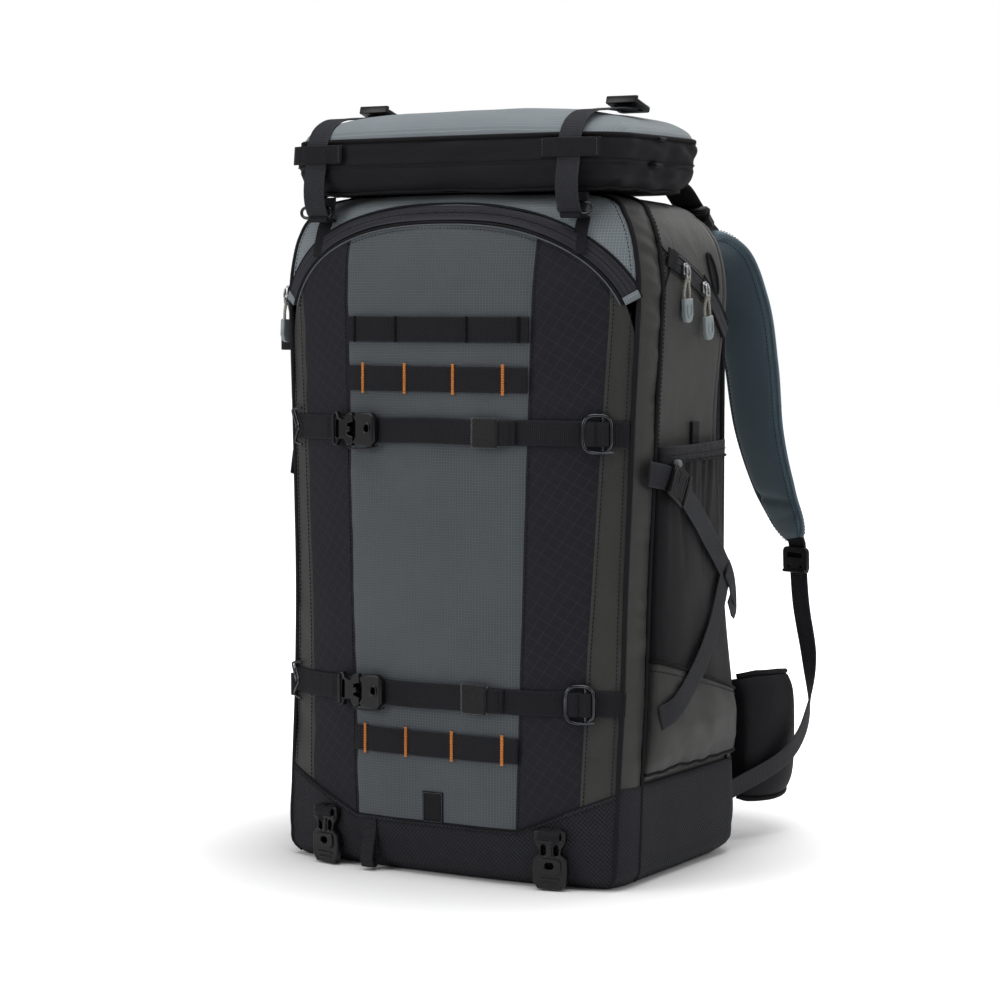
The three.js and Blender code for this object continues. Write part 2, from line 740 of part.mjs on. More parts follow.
// The whole pocket in one: lower panel, stretch cloth and hem, each with its own thickness.
function pocketCloth(grow = 0) {
  const hemFoot = pocketTop - hemHeight;
  const step = 0.6;
  const seams = [pocketSeam - step, pocketSeam + step, hemFoot - step, hemFoot + step];
  const heights = [...pocketSections.map((row) => mix(pocketFoot, pocketTop, row.up)), ...seams];
  heights.sort((p, q) => p - q);
  const shares = [0, 0.07, 0.25, 0.5, 0.75, 0.93, 1];
  const rings = heights.map((z) => {
    const extra = z < pocketSeam ? panelExtra : z > hemFoot ? hemExtra : 0;
    const outer = shares.map((share) => pocketPoint(share, z, pocketWall + extra + grow));
    const inner = [...shares].reverse().map((share) => pocketPoint(share, z, -grow));
    return [...outer, ...inner];
  });
  return loft(rings).subtract(bodyForm(gap));
}

function makeSidePockets() {
  addPair("side_pocket", pocketCloth(), "stretch_cloth");
}

// Webbing across the side pocket: from the front seam back to the rear corner and forward again lower down
const lockShare = 0.1;
const sideStrapTop = 318;
const sideStrapTurn = 236;
const sideStrapFoot = 132;

function makeSideStraps() {
  const legs = [
    [-0.14, sideStrapTop + 7],
    [0.08, sideStrapTop],
    [0.35, mix(sideStrapTop, sideStrapTurn, 0.3)],
    [0.6, mix(sideStrapTop, sideStrapTurn, 0.62)],
    [0.82, mix(sideStrapTop, sideStrapTurn, 0.88)],
    [0.9, sideStrapTurn],
    [0.82, mix(sideStrapTurn, sideStrapFoot, 0.12)],
    [0.6, mix(sideStrapTurn, sideStrapFoot, 0.42)],
    [0.35, mix(sideStrapTurn, sideStrapFoot, 0.7)],
    [0.12, mix(sideStrapTurn, sideStrapFoot, 0.94)],
    [0.02, sideStrapFoot],
  ];
  const standOff = pocketWall + gap + webThick;
  const points = legs.map(([share, z]) => pocketPoint(share, z, standOff));
  const leg = (list, grow = 0) =>
    ribbon(
      list,
      list.map((point, i) => {
        const ahead = list[Math.min(i + 1, list.length - 1)].clone().sub(list[Math.max(i - 1, 0)]);
        return ahead.cross(vec(1, 0, 0));
      }),
      webWidth + grow,
      webThick + grow,
    );
  const room = pocketCloth(gap).add(bodyForm(gap));
  const turn = points[5];
  const past = (from) => turn.clone().addScaledVector(turn.clone().sub(from).normalize(), webWidth / 2);
  const upper = [...points.slice(0, 5), past(points[4])];
  const lower = [past(points[6]), ...points.slice(6)];
  addPair("side_strap", leg(upper).add(leg(lower)).subtract(room), "webbing");

  const seat = pocketPoint(lockShare, mix(sideStrapTop, sideStrapTurn, 0.04), standOff + webThick / 2 + gap);
  const along = points[2].clone().sub(points[1]);
  const lock = plate(
    roundedRectangle(26, webWidth + 8, 4, 2),
    [slot(-5, 4, webWidth - 1), slot(5, 4, webWidth - 1)],
    4,
    seat,
    along,
    along.clone().cross(vec(-1, 0, 0)),
  );
  const strapRoom = leg(upper, 2 * gap);
  addPair("side_lock", lock.subtract(strapRoom).subtract(room), "buckle_plastic");
}

// Zips on the side panels, and the pulls on their sliders
const sideZipLine = [
  [-20, 464],
  [20, 454],
  [52, 440],
  [84, 412],
];
const sideZipWidth = 12;
const pullTabWidth = 14;
const pullTabHeight = 18;
const pullCord = 1.3;
const pullDrop = 16;

function makeSideZips() {
  const half = sideZipWidth / 2;
  const top = sideZipLine.map(([y, z]) => [y, z + half]);
  const foot = sideZipLine.map(([y, z]) => [y, z - half]);
  const band = throughX([...foot, ...top.reverse()], 0, far);
  addPair("side_zip", skin(gap, gap + zipThick).intersect(band), "zip_tape");
}

// A moulded tab on a loop of cord, flat against the side panel.
function pullShape(y, z, standOff) {
  const face = Math.max(sideX(y, z), sideX(y, z - pullDrop - pullTabHeight)) + standOff;
  const x = face + pullCord;
  const cordPath = [
    [-2, 0],
    [0, 1.5],
    [2, 0],
    [4.2, -pullDrop * 0.6],
    [4.4, -pullDrop - 5],
    [-4.4, -pullDrop - 5],
    [-4.2, -pullDrop * 0.6],
  ].map(([u, v]) => vec(x, y + u, z + v));
  const half = pullTabWidth / 2;
  const outline = [
    [-half, 0],
    [half, 0],
    [half, -pullTabHeight * 0.7],
    [half * 0.45, -pullTabHeight],
    [-half * 0.45, -pullTabHeight],
    [-half, -pullTabHeight * 0.7],
  ];
  const tab = plate(
    outline,
    [],
    4,
    vec(x - 2, y, z - pullDrop),
    vec(0, 1, 0),
    vec(0, 0, 1),
  );
  return wireLoop(cordPath, pullCord).add(tab);
}

const sidePulls = { pull_front: { y: -3, z: 468 }, pull_rear: { y: 37, z: 457 } };

const archPull = { y: -66, z: 466 };

function makePulls() {
  add("pull_arch", mirrored(pullShape(archPull.y, archPull.z, gap)).subtract(bodyForm(gap)), "pull_rubber");
  const standOff = gap + zipThick + gap;
  for (const [name, at] of Object.entries(sidePulls)) {
    addPair(name, pullShape(at.y, at.z, standOff).subtract(bodyForm(standOff)), "pull_rubber");
  }
}

// Harness

const harnessFace = backReach + gap + backPanelThick;
const panelFoot = 34;
const panelHead = bodyTop - backPanelDrop;
const padInset = 10;
const padHead = panelHead - 60;
const padBridgeTop = padHead - 16;
const padBridgeFoot = padBridgeTop - 203;

function makeBackPanel() {
  const height = panelHead - panelFoot;
  const outline = roundedRectangle(2 * backPanelHalf, height, 34, 4).map(([x, z]) => [x, z + panelFoot + height / 2]);
  const coverRoom = bodyForm(lift + gap).intersect(skirtPrism(gap));
  const panel = throughY(outline, backReach / 2, harnessFace).subtract(bodyForm(gap)).subtract(coverRoom);
  add("back_panel", panel.intersect(block(-far, far, backReach - 4, far, 0, far * 2)), "black_cloth");

  const padHalf = backPanelHalf - padInset;
  const channel = 22;
  const pad = (z0, z1) =>
    throughY(
      roundedRectangle(padHalf - channel / 2, z1 - z0, 18, 3).map(([x, z]) => [
        x + (padHalf + channel / 2) / 2,
        z + (z0 + z1) / 2,
      ]),
      harnessFace + gap,
      harnessFace + gap + padThick,
    );
  const side = pad(mix(panelFoot, panelHead, 0.36), padHead);
  const bridge = block(-channel, channel, harnessFace + gap, harnessFace + gap + padThick / 3, padBridgeFoot, padBridgeTop);
  add("back_pad", side.add(mirrored(side)).add(bridge), "air_mesh");
  const lumbar = roundedRectangle(2 * padHalf, lumbarHeight, 24, 3).map(([x, z]) => [x, z + beltCentre + 26]);
  add("lumbar_pad", throughY(lumbar, harnessFace + gap, harnessFace + gap + padThick + 4), "air_mesh");
}

// Padded straps: an oval section swept along a curve that stands off the back and follows the panel's head
const shoulderRoute = [
  vec(72, harnessFace + 8, panelHead - 42),
  vec(73, harnessFace + 18, panelHead - 2),
  vec(80, harnessFace + 47, panelHead + 20),
  vec(92, harnessFace + 79, panelHead + 9),
  vec(103, harnessFace + 98, panelHead - 32),
  vec(112, harnessFace + 104, panelHead - 89),
  vec(119, harnessFace + 107, panelHead - 149),
  vec(132, harnessFace + 112, panelHead - 199),
  vec(149, harnessFace + 119, panelHead - 242),
];
const shoulderEnd = shoulderRoute.at(-1);

// A flattened oval section swept along a curve. Widths are shares of width at even steps.
function paddedSweep(curve, steps, across, width, thick, shares) {
  const rings = Array.from({ length: steps + 1 }, (_, k) => {
    const t = k / steps;
    const point = curve.getPoint(t);
    const along = curve.getTangent(t);
    const side = across(t).normalize();
    const face = along.clone().cross(side).normalize();
    const flat = face.clone().cross(along).normalize();
    const row = shares[Math.round(t * (shares.length - 1))];
    return Array.from({ length: 10 }, (_, i) => {
      const turn = (2 * Math.PI * (i + 0.5)) / 10;
      const u = Math.sign(Math.cos(turn)) * Math.abs(Math.cos(turn)) ** 0.5;
      const v = Math.sin(turn);
      return point
        .clone()
        .addScaledVector(flat, (u * width * row) / 2)
        .addScaledVector(face, (v * thick) / 2);
    });
  });
  return loft(rings);
}

function makeShoulderStraps() {
  const curve = new THREE.CatmullRomCurve3(shoulderRoute);
  const across = (t) => vec(1, -0.25 - 0.15 * t, 0.1 - 0.45 * t);
  const shares = [0.8, 0.95, 1, 1, 0.97, 0.92, 0.86, 0.78, 0.6];
  const strap = paddedSweep(curve, 14, across, shoulderWidth, shoulderThick, shares);
  const clearOfBack = block(-far, far, -far, harnessFace + gap, -far, far * 2);
  addPair("shoulder_strap", strap.subtract(clearOfBack), "harness_cloth");

  // Webbing from the strap's foot, down over the belt wing to the base's rear corner
  const rearCorner = vec(bodyWidth / 2 - 16, backReach - 4, 46);
  const route = new THREE.CatmullRomCurve3([
    shoulderEnd.clone().add(vec(1.3, 0.5, -3.4)),
    shoulderEnd.clone().add(vec(5, 1, -56)),
    shoulderEnd.clone().add(vec(13, 2, -106)),
    shoulderEnd.clone().add(vec(22, -18, -146)),
    vec(rearCorner.x + 27, rearCorner.y + 74, rearCorner.z + 28),
    rearCorner,
  ]);
  const path = route.getPoints(12);
  const flat = vec(1, -0.35, 0);
  const upright = vec(0.15, -0.6, 0.8);
  const turning = path.map((_, i) => flat.clone().lerp(upright, THREE.MathUtils.smoothstep(i, 3, 7)));
  addPair("shoulder_web", ribbon(path, turning).subtract(bodyForm(lift + gap)), "webbing");

  const along = path[0].clone().sub(path[1]).normalize();
  const lockHeight = 22;
  const lockSeat = path[0].clone().addScaledVector(along, -lockHeight / 2 - 4).add(vec(0, -1, 0));
  const lock = plate(
    roundedRectangle(webWidth + 9, lockHeight, 4, 2),
    [slot(0, webWidth - 2, 4)],
    4,
    lockSeat,
    flat,
    along,
  );
  const above = path[0].clone().addScaledVector(along, 20);
  const webRoom = ribbon([above, ...path], [flat, ...turning], webWidth + 1, webThick + 2 * gap);
  addPair("shoulder_lock", lock.subtract(webRoom), "buckle_plastic");
}

// Waist belt: padded wings that curl back from the lumbar pad, joined by webbing and a buckle
const beltRoute = [
  vec(backPanelHalf - 14, harnessFace + 12, beltCentre + 4),
  vec(backPanelHalf + 14, harnessFace + 30, beltCentre + 2),
  vec(backPanelHalf + 22, harnessFace + 66, beltCentre),
  vec(backPanelHalf + 10, harnessFace + 104, beltCentre - 2),
  vec(backPanelHalf - 24, harnessFace + 130, beltCentre - 4),
  vec(backPanelHalf - 66, harnessFace + 140, beltCentre - 4),
];

function makeBelt() {
  const curve = new THREE.CatmullRomCurve3(beltRoute);
  const shares = [0.85, 1, 1, 0.96, 0.88, 0.74, 0.55];
  const wing = paddedSweep(curve, 10, () => vec(0, 0, 1), beltHeight, beltThick, shares);
  const lumbarRoom = block(-far, far, -far, harnessFace + gap + padThick + 4 + gap, -far, far);
  addPair("belt_wing", wing.subtract(lumbarRoom), "black_cloth");

  const end = beltRoute.at(-1);
  const webPath = [-1, -0.5, 0, 0.5, 1].map((t) =>
    vec(t * (end.x - gap - 0.5), end.y + 6 * (1 - t * t) + 1, end.z),
  );
  const buckleY = end.y + 7 + webThick / 2 + gap;
  add("belt_web", ribbon(webPath, vec(0, 0, 1), beltWebWidth), "webbing");
  const slotX = beltBuckleLength / 2 - 12;
  const buckle = plate(
    roundedRectangle(beltBuckleLength, beltWebWidth + 12, 9),
    [slot(-slotX, 6, beltWebWidth - 6), slot(slotX, 6, beltWebWidth - 6)],
    beltBuckleThick,
    vec(0, buckleY, end.z),
    vec(-1, 0, 0),
    vec(0, 0, 1),
  );
  const webRoom = ribbon(webPath, vec(0, 0, 1), beltWebWidth + 1, webThick + 2 * gap);
  add("belt_buckle", buckle.subtract(webRoom), "buckle_plastic");
}

// Grab handle at the top of the back, and the webbing that ties the lid to the harness
function makeTopHandle() {
  const face = harnessFace + gap;
  const half = 34;
  const foot = panelHead - 16;
  const route = new THREE.CatmullRomCurve3([
    vec(-half, face, foot),
    vec(-half, face + 12, foot + 12),
    vec(-half + 4, face + 17, foot + 36),
    vec(0, face + 18, foot + 47),
    vec(half - 4, face + 17, foot + 36),
    vec(half, face + 12, foot + 12),
    vec(half, face, foot),
  ]);
  const path = route.getPoints(12);
  const across = path.map((point, i) => {
    const along = path[Math.min(i + 1, 12)].clone().sub(path[Math.max(i - 1, 0)]);
    return vec(0, 1, 0).addScaledVector(along, -along.y / along.lengthSq());
  });
  const handle = ribbon(path, across, handleWidth, handleThick).subtract(block(-far, far, 0, face, 0, far * 2));
  add("grab_handle", handle, "webbing");
}

// Webbing that ties the lid's rear corners down to the tops of the shoulder straps, through a lock
const tieWidth = 25;

function makeLidTies() {
  const path = [
    vec(lidStrapX - 1, lidBack - 6, lidFoot + 12),
    vec(lidStrapX, lidBack + 6, lidFoot + 7),
    vec(lidStrapX + 2, lidBack + 22, lidFoot - 6),
    vec(lidStrapX + 1, lidBack + 44, lidFoot - 20),
    vec(lidStrapX - 7, lidBack + 70, lidFoot - 25),
    vec(lidStrapX - 20, lidBack + 88, lidFoot - 22),
  ];
  const across = vec(1, 0.25, 0);
  const room = lidForm(gap).add(bodyForm(gap));
  addPair("lid_tie", ribbon(path, across, tieWidth).subtract(room), "webbing");

  const along = path[2].clone().sub(path[3]).normalize();
  const seat = path[2].clone().lerp(path[3], 0.5);
  const outward = across.clone().normalize().cross(along);
  const lock = plate(
    roundedRectangle(tieWidth + 8, 26, 4, 2),
    [slot(0, tieWidth - 6, 5)],
    5,
    seat.addScaledVector(outward, webThick / 2 + gap),
    across,
    along,
  );
  addPair("lid_tie_lock", lock, "buckle_plastic");
}

makeBody();
makeFrontWebbing();
makeBaseFittings();
makeLid();
makeLidStraps();
makeSidePockets();
makeSideStraps();
makeSideZips();
makePulls();
makeBackPanel();
makeShoulderStraps();
makeBelt();
makeTopHandle();
makeLidTies();

export default group;
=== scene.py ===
# Looks of a tall camera backpack: cloth panels, piping, zips, webbing, buckles, lid, pockets and harness.
# Metres. X runs across the pack, -Y is its front, +Y the harness, +Z up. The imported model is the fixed
# frame.
import math

import bmesh
import bpy
import numpy as np
from mathutils import Matrix, Vector, noise


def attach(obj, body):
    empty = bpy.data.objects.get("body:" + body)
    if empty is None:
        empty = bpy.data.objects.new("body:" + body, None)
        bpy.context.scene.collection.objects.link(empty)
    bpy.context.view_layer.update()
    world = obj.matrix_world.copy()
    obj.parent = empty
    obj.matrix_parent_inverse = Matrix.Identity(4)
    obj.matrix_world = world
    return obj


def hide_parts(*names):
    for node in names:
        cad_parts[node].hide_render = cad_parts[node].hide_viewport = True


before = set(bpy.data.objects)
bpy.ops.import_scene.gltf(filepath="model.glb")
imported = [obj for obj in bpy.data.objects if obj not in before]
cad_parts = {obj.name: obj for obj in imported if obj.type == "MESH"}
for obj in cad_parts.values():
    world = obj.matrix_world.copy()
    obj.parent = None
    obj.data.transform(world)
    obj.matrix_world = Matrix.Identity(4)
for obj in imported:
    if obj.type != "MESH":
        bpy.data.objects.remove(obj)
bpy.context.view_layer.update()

# Studio: the pack stands on a seamless pale sheet under a broad soft box overhead, with a second soft box
# at the front left and a narrow one at the right, and is seen from its right front corner, a little above
# its middle.
scene = bpy.context.scene
scene.view_settings.view_transform = "Standard"

camera = bpy.data.objects.new("camera", bpy.data.cameras.new("camera"))
camera.data.lens = 100.48
camera.data.sensor_width = 36
camera.location = (1.17296, -1.97450, 0.45745)
camera.rotation_euler = (math.radians(85.943), 0, math.radians(30.869))
scene.collection.objects.link(camera)
scene.camera = camera


def soft_box(name, place, size, watts, target=(0, 0, 0.3)):
    """A rectangular area light that points at a target."""
    data = bpy.data.lights.new(name, "AREA")
    data.shape = "RECTANGLE"
    data.size, data.size_y = size
    data.energy = watts
    light = bpy.data.objects.new(name, data)
    light.location = place
    light.rotation_euler = (Vector(target) - Vector(place)).to_track_quat("-Z", "Y").to_euler()
    scene.collection.objects.link(light)


soft_box("overhead", (0.2, -0.1, 2.4), (2.4, 2.0), 46)
soft_box("front_left", (-1.6, -2.4, 1.5), (1.4, 1.8), 30)
soft_box("right", (2.6, 0.2, 1.3), (0.7, 1.8), 15)
soft_box("behind", (0.4, 2.6, 1.6), (1.8, 1.2), 12)

world = bpy.data.worlds.new("studio")
scene.world = world
world.use_nodes = True
sky = world.node_tree.nodes["Background"]
seen = world.node_tree.nodes.new("ShaderNodeBackground")
seen.inputs["Strength"].default_value = 1.0
seen.inputs["Color"].default_value = (1, 1, 1, 1)
sky.inputs["Color"].default_value = (1, 1, 1, 1)
sky.inputs["Strength"].default_value = 0.22
switch = world.node_tree.nodes.new("ShaderNodeMixShader")
path = world.node_tree.nodes.new("ShaderNodeLightPath")
world.node_tree.links.new(path.outputs["Is Camera Ray"], switch.inputs[0])
world.node_tree.links.new(sky.outputs[0], switch.inputs[1])
world.node_tree.links.new(seen.outputs[0], switch.inputs[2])
world.node_tree.links.new(switch.outputs[0], world.node_tree.nodes["World Output"].inputs[0])

floor_mesh = bpy.data.meshes.new("floor")
reach = 9.0
floor_mesh.from_pydata(
    [(-reach, -reach, 0), (reach, -reach, 0), (reach, reach, 0), (-reach, reach, 0)], [], [(0, 1, 2, 3)],
)
floor = bpy.data.objects.new("floor", floor_mesh)
scene.collection.objects.link(floor)
paper = bpy.data.materials.new("paper")
paper.use_nodes = True
paper.node_tree.nodes["Principled BSDF"].inputs["Base Color"].default_value = (0.97, 0.97, 0.97, 1)
paper.node_tree.nodes["Principled BSDF"].inputs["Roughness"].default_value = 0.9
# The floor glows to the camera alone: not at all near the pack, fully from about half a metre out. This is
# a painted glow that keeps the far floor white where the lamps light it less, while the shadow near the
# pack stays.
spot = paper.node_tree.nodes.new("ShaderNodeTexCoord")
away = paper.node_tree.nodes.new("ShaderNodeVectorMath")
away.operation = "LENGTH"
paper.node_tree.links.new(spot.outputs["Object"], away.inputs[0])
glow = paper.node_tree.nodes.new("ShaderNodeMapRange")
glow.inputs["From Min"].default_value = 0.14
glow.inputs["From Max"].default_value = 0.52
glow.interpolation_type = "SMOOTHSTEP"
paper.node_tree.links.new(away.outputs["Value"], glow.inputs["Value"])
seen_glow = paper.node_tree.nodes.new("ShaderNodeMath")
seen_glow.operation = "MULTIPLY"
sight = paper.node_tree.nodes.new("ShaderNodeLightPath")
paper.node_tree.links.new(glow.outputs["Result"], seen_glow.inputs[0])
paper.node_tree.links.new(sight.outputs["Is Camera Ray"], seen_glow.inputs[1])
paper.node_tree.links.new(
    seen_glow.outputs[0], paper.node_tree.nodes["Principled BSDF"].inputs["Emission Color"],
)
paper.node_tree.nodes["Principled BSDF"].inputs["Emission Strength"].default_value = 1.0
floor.data.materials.append(paper)


# Cloth of the body: coated weaves, each a colour that shifts a little from place to place, with its threads
# raised. The panels of the front pocket, the light yoke above it, the olive sides and the black base are
# all cut from these.
def shade(text, alpha=1.0):
    """A colour written as on screen, as the light it stands for."""
    parts = [int(text[i : i + 2], 16) / 255 for i in (1, 3, 5)]
    return [p / 12.92 if p <= 0.04045 else ((p + 0.055) / 1.055) ** 2.4 for p in parts] + [alpha]


def node(tree, kind, *values, settings=None, **named):
    """A shader node, its sockets filled in order or by name with values or other outputs."""
    made = tree.nodes.new(kind)
    for key, value in (settings or {}).items():
        setattr(made, key, value)
    pairs = list(zip(made.inputs, values)) + [
        (made.inputs[key.replace("_", " ")], v) for key, v in named.items()
    ]
    for socket, value in pairs:
        if isinstance(value, bpy.types.NodeSocket):
            tree.links.new(value, socket)
        else:
            socket.default_value = value
    return made


def sums(tree, operation, *values):
    """The result of one Math node."""
    return node(tree, "ShaderNodeMath", *values, settings={"operation": operation}).outputs[0]


def blend_colour(tree, factor, low, high):
    """A colour between two, by a factor."""
    mixer = node(tree, "ShaderNodeMix", settings={"data_type": "RGBA"})
    for socket, value in ((mixer.inputs[0], factor), (mixer.inputs[6], low), (mixer.inputs[7], high)):
        if isinstance(value, bpy.types.NodeSocket):
            tree.links.new(value, socket)
        else:
            socket.default_value = value
    return mixer.outputs[2]


def node_group(name, inputs, outputs, fill):
    """A group of shader nodes, its sockets given as (name, kind, default), that fill fills."""
    tree = bpy.data.node_groups.new(name, "ShaderNodeTree")
    for label, kind, default in inputs:
        socket = tree.interface.new_socket(label, in_out="INPUT", socket_type=kind)
        if default is not None:
            socket.default_value = default
    for label in outputs:
        tree.interface.new_socket(label, in_out="OUTPUT", socket_type="NodeSocketFloat")
    enter = tree.nodes.new("NodeGroupInput")
    leave = tree.nodes.new("NodeGroupOutput")
    for label, socket in fill(tree, enter.outputs).items():
        tree.links.new(socket, leave.inputs[label])
    return tree


def fill_weave(tree, given):
    """Plain or twill weave: threads that rise and dip, with uneven yarn."""
    cell = node(tree, "ShaderNodeVectorMath", settings={"operation": "SCALE"})
    tree.links.new(given["Vector"], cell.inputs[0])
    tree.links.new(sums(tree, "DIVIDE", math.pi, given["Thread"]), cell.inputs["Scale"])
    part = node(tree, "ShaderNodeSeparateXYZ", cell.outputs[0])
    plain = sums(tree, "MULTIPLY", sums(tree, "SINE", part.outputs[0]), sums(tree, "SINE", part.outputs[1]))
    slope = sums(tree, "ADD", part.outputs[0], part.outputs[1])
    twill = sums(tree, "SINE", slope)
    woven = node(tree, "ShaderNodeMix", given["Twill"], settings={"data_type": "FLOAT"})
    tree.links.new(plain, woven.inputs[2])
    tree.links.new(twill, woven.inputs[3])
    yarn = node(tree, "ShaderNodeTexNoise", Vector=given["Vector"], Scale=900.0, Detail=2.0)
    uneven = sums(tree, "SUBTRACT", yarn.outputs[0], 0.5)
    raised = sums(tree, "MULTIPLY_ADD", woven.outputs[0], 0.5, 0.5)
    return {"Height": sums(tree, "ADD", raised, uneven), "Threads": raised}


weave = node_group(
    "Cloth weave",
    [
        ("Vector", "NodeSocketVector", None), ("Thread", "NodeSocketFloat", 0.0006),
        ("Twill", "NodeSocketFloat", 0.0),
    ],
    ["Height", "Threads"], fill_weave,
)


def fill_grid(tree, given):
    """The thicker threads of a ripstop cloth, a grid of lines either square or turned to diamonds."""
    turned = node(tree, "ShaderNodeVectorRotate", Vector=given["Vector"], Angle=given["Turn"])
    part = node(tree, "ShaderNodeSeparateXYZ", turned.outputs[0])
    lines = []
    for axis, pitch in ((0, given["Pitch"]), (1, given["Pitch up"])):
        place = sums(tree, "DIVIDE", part.outputs[axis], pitch)
        off = sums(tree, "ABSOLUTE", sums(tree, "SUBTRACT", sums(tree, "FRACT", place), 0.5))
        lines.append(sums(tree, "GREATER_THAN", off, sums(tree, "SUBTRACT", 0.5, given["Share"])))
    return {"Line": sums(tree, "MAXIMUM", *lines)}


ripstop = node_group(
    "Ripstop grid",
    [
        ("Vector", "NodeSocketVector", None), ("Pitch", "NodeSocketFloat", 0.003),
        ("Pitch up", "NodeSocketFloat", 0.003), ("Share", "NodeSocketFloat", 0.1),
        ("Turn", "NodeSocketFloat", 0.0),
    ],
    ["Line"], fill_grid,
)


def fill_fading(tree, given):
    """Soft patches where the coating is a little duller or paler, with fine flecks over them."""
    patches = node(
        tree, "ShaderNodeTexNoise", Vector=given["Vector"], Scale=given["Scale"], Detail=4.0, Roughness=0.6,
    )
    flecks = node(tree, "ShaderNodeTexNoise", Vector=given["Vector"], Scale=620.0, Detail=2.0)
    soft = sums(tree, "MULTIPLY_ADD", sums(tree, "SUBTRACT", patches.outputs[0], 0.5), 1.6, 0.5)
    fine = sums(tree, "MULTIPLY_ADD", sums(tree, "SUBTRACT", flecks.outputs[0], 0.5), given["Flecks"], soft)
    return {"Fading": node(tree, "ShaderNodeClamp", fine).outputs[0]}


fading = node_group(
    "Cloth fading",
    [
        ("Vector", "NodeSocketVector", None), ("Scale", "NodeSocketFloat", 9.0),
        ("Flecks", "NodeSocketFloat", 0.8),
    ],
    ["Fading"], fill_fading,
)


def bare_material(name, rough, **sockets):
    """A material with its Principled shader, its plain values set on the shader's own sockets."""
    material = bpy.data.materials.new(name)
    material.use_nodes = True
    shader = material.node_tree.nodes["Principled BSDF"]
    shader.inputs["Roughness"].default_value = rough
    for key, value in sockets.items():
        shader.inputs[key.replace("_", " ")].default_value = value
    return material, material.node_tree, shader


def group_node(tree, group, **named):
    made = tree.nodes.new("ShaderNodeGroup")
    made.node_tree = group
    for key, value in named.items():
        socket = made.inputs[key.replace("_", " ")]
        if isinstance(value, bpy.types.NodeSocket):
            tree.links.new(value, socket)
        else:
            socket.default_value = value
    return made


def cloth_material(
    name, dark, pale, rough=0.6, thread=0.0007, twill=0.0, bump=0.25, grid=None, grid_pale=None,
    flat_map=True, sheen=0.0, crease=0.0, gloss=0.14,
):
    """Woven cloth between two colours. Grid is (pitch, pitch up, share, turn) of its thick threads."""
    material, tree, shader = bare_material(
        name, rough, Sheen_Weight=sheen, Sheen_Roughness=0.4, Specular_IOR_Level=gloss,
    )
    place = node(tree, "ShaderNodeTexCoord")
    solid = place.outputs["Object"]
    if flat_map:
        flat = node(tree, "ShaderNodeUVMap", settings={"uv_map": "cloth"}).outputs[0]
    else:
        part = node(tree, "ShaderNodeSeparateXYZ", solid)
        flat = node(
            tree, "ShaderNodeCombineXYZ", part.outputs[0], part.outputs[2], part.outputs[1],
        ).outputs[0]
    threads = group_node(tree, weave, Vector=flat, Thread=thread, Twill=twill)
    faded = group_node(tree, fading, Vector=solid)
    colour = blend_colour(tree, faded.outputs[0], dark, pale)
    height = sums(tree, "MULTIPLY", threads.outputs["Height"], 1.0)
    shadow = sums(tree, "MULTIPLY_ADD", threads.outputs["Threads"], 0.22, 0.78)
    if grid:
        pitch, pitch_up, share, turn = grid
        lines = group_node(
            tree, ripstop, Vector=flat, Pitch=pitch, Pitch_up=pitch_up, Share=share, Turn=turn,
        )
        colour = blend_colour(tree, lines.outputs[0], colour, grid_pale or pale)
        height = sums(tree, "MULTIPLY_ADD", lines.outputs[0], 1.2, height)
    tone = node(tree, "ShaderNodeMix", settings={"data_type": "RGBA", "blend_type": "MULTIPLY"})
    tone.inputs[0].default_value = 1.0
    tree.links.new(colour, tone.inputs[6])
    tree.links.new(node(tree, "ShaderNodeCombineColor", shadow, shadow, shadow).outputs[0], tone.inputs[7])
    tree.links.new(tone.outputs[2], shader.inputs["Base Color"])
    dull = sums(tree, "MULTIPLY_ADD", sums(tree, "SUBTRACT", faded.outputs[0], 0.5), 0.16, rough)
    tree.links.new(dull, shader.inputs["Roughness"])
    rise = node(tree, "ShaderNodeBump", Strength=bump, Distance=0.0004, Height=height)
    if crease:
        folds = node(
            tree, "ShaderNodeTexNoise", Vector=solid, Scale=26.0, Detail=3.0, Roughness=0.55,
            Distortion=0.6,
        )
        soft = node(tree, "ShaderNodeBump", Strength=crease, Distance=0.006, Height=folds.outputs[0])
        tree.links.new(soft.outputs[0], rise.inputs["Normal"])
    tree.links.new(rise.outputs[0], shader.inputs["Normal"])
    return material


grey_ripstop = cloth_material(
    "grey_ripstop", shade("#484c50"), shade("#585d61"), rough=0.62, thread=0.0009, bump=0.5,
    grid=(0.0026, 0.0022, 0.07, 0.0), grid_pale=shade("#60676c"), sheen=0.12, crease=0.10,
)
charcoal_cloth = cloth_material(
    "charcoal_cloth", shade("#1e1e24"), shade("#27272d"), rough=0.66, thread=0.0006, bump=0.35,
    grid=(0.0085, 0.0085, 0.03, math.radians(32)), grid_pale=shade("#2d2d34"), crease=0.14,
)
olive_satin = cloth_material(
    "olive_satin", shade("#313130"), shade("#3e3e3c"), rough=0.5, thread=0.0011, twill=0.8, bump=0.4,
    sheen=0.03, crease=0.22, gloss=0.28,
)
pale_ripstop = cloth_material(
    "pale_ripstop", shade("#6e747a"), shade("#80868b"), rough=0.56, thread=0.0009, bump=0.4,
    grid=(0.0022, 0.0022, 0.08, 0.0), grid_pale=shade("#8b9699"), sheen=0.15, crease=0.1,
)
base_weave = cloth_material(
    "base_weave", shade("#17171b"), shade("#222227"), rough=0.62, thread=0.0016, twill=1.0, bump=0.9,
    grid=(0.0026, 0.0026, 0.12, math.radians(40)), grid_pale=shade("#323238"), crease=0.1,
)
black_weave = cloth_material(
    "black_weave", shade("#131316"), shade("#1c1c20"), rough=0.62, thread=0.0008, bump=0.35, crease=0.3,
)
thread_black = cloth_material(
    "thread_black", shade("#0b0b0d"), shade("#19191c"), rough=0.7, thread=0.0004, flat_map=False,
)
thread_grey = cloth_material(
    "thread_grey", shade("#56595c"), shade("#6c7073"), rough=0.7, thread=0.0004, flat_map=False,
)

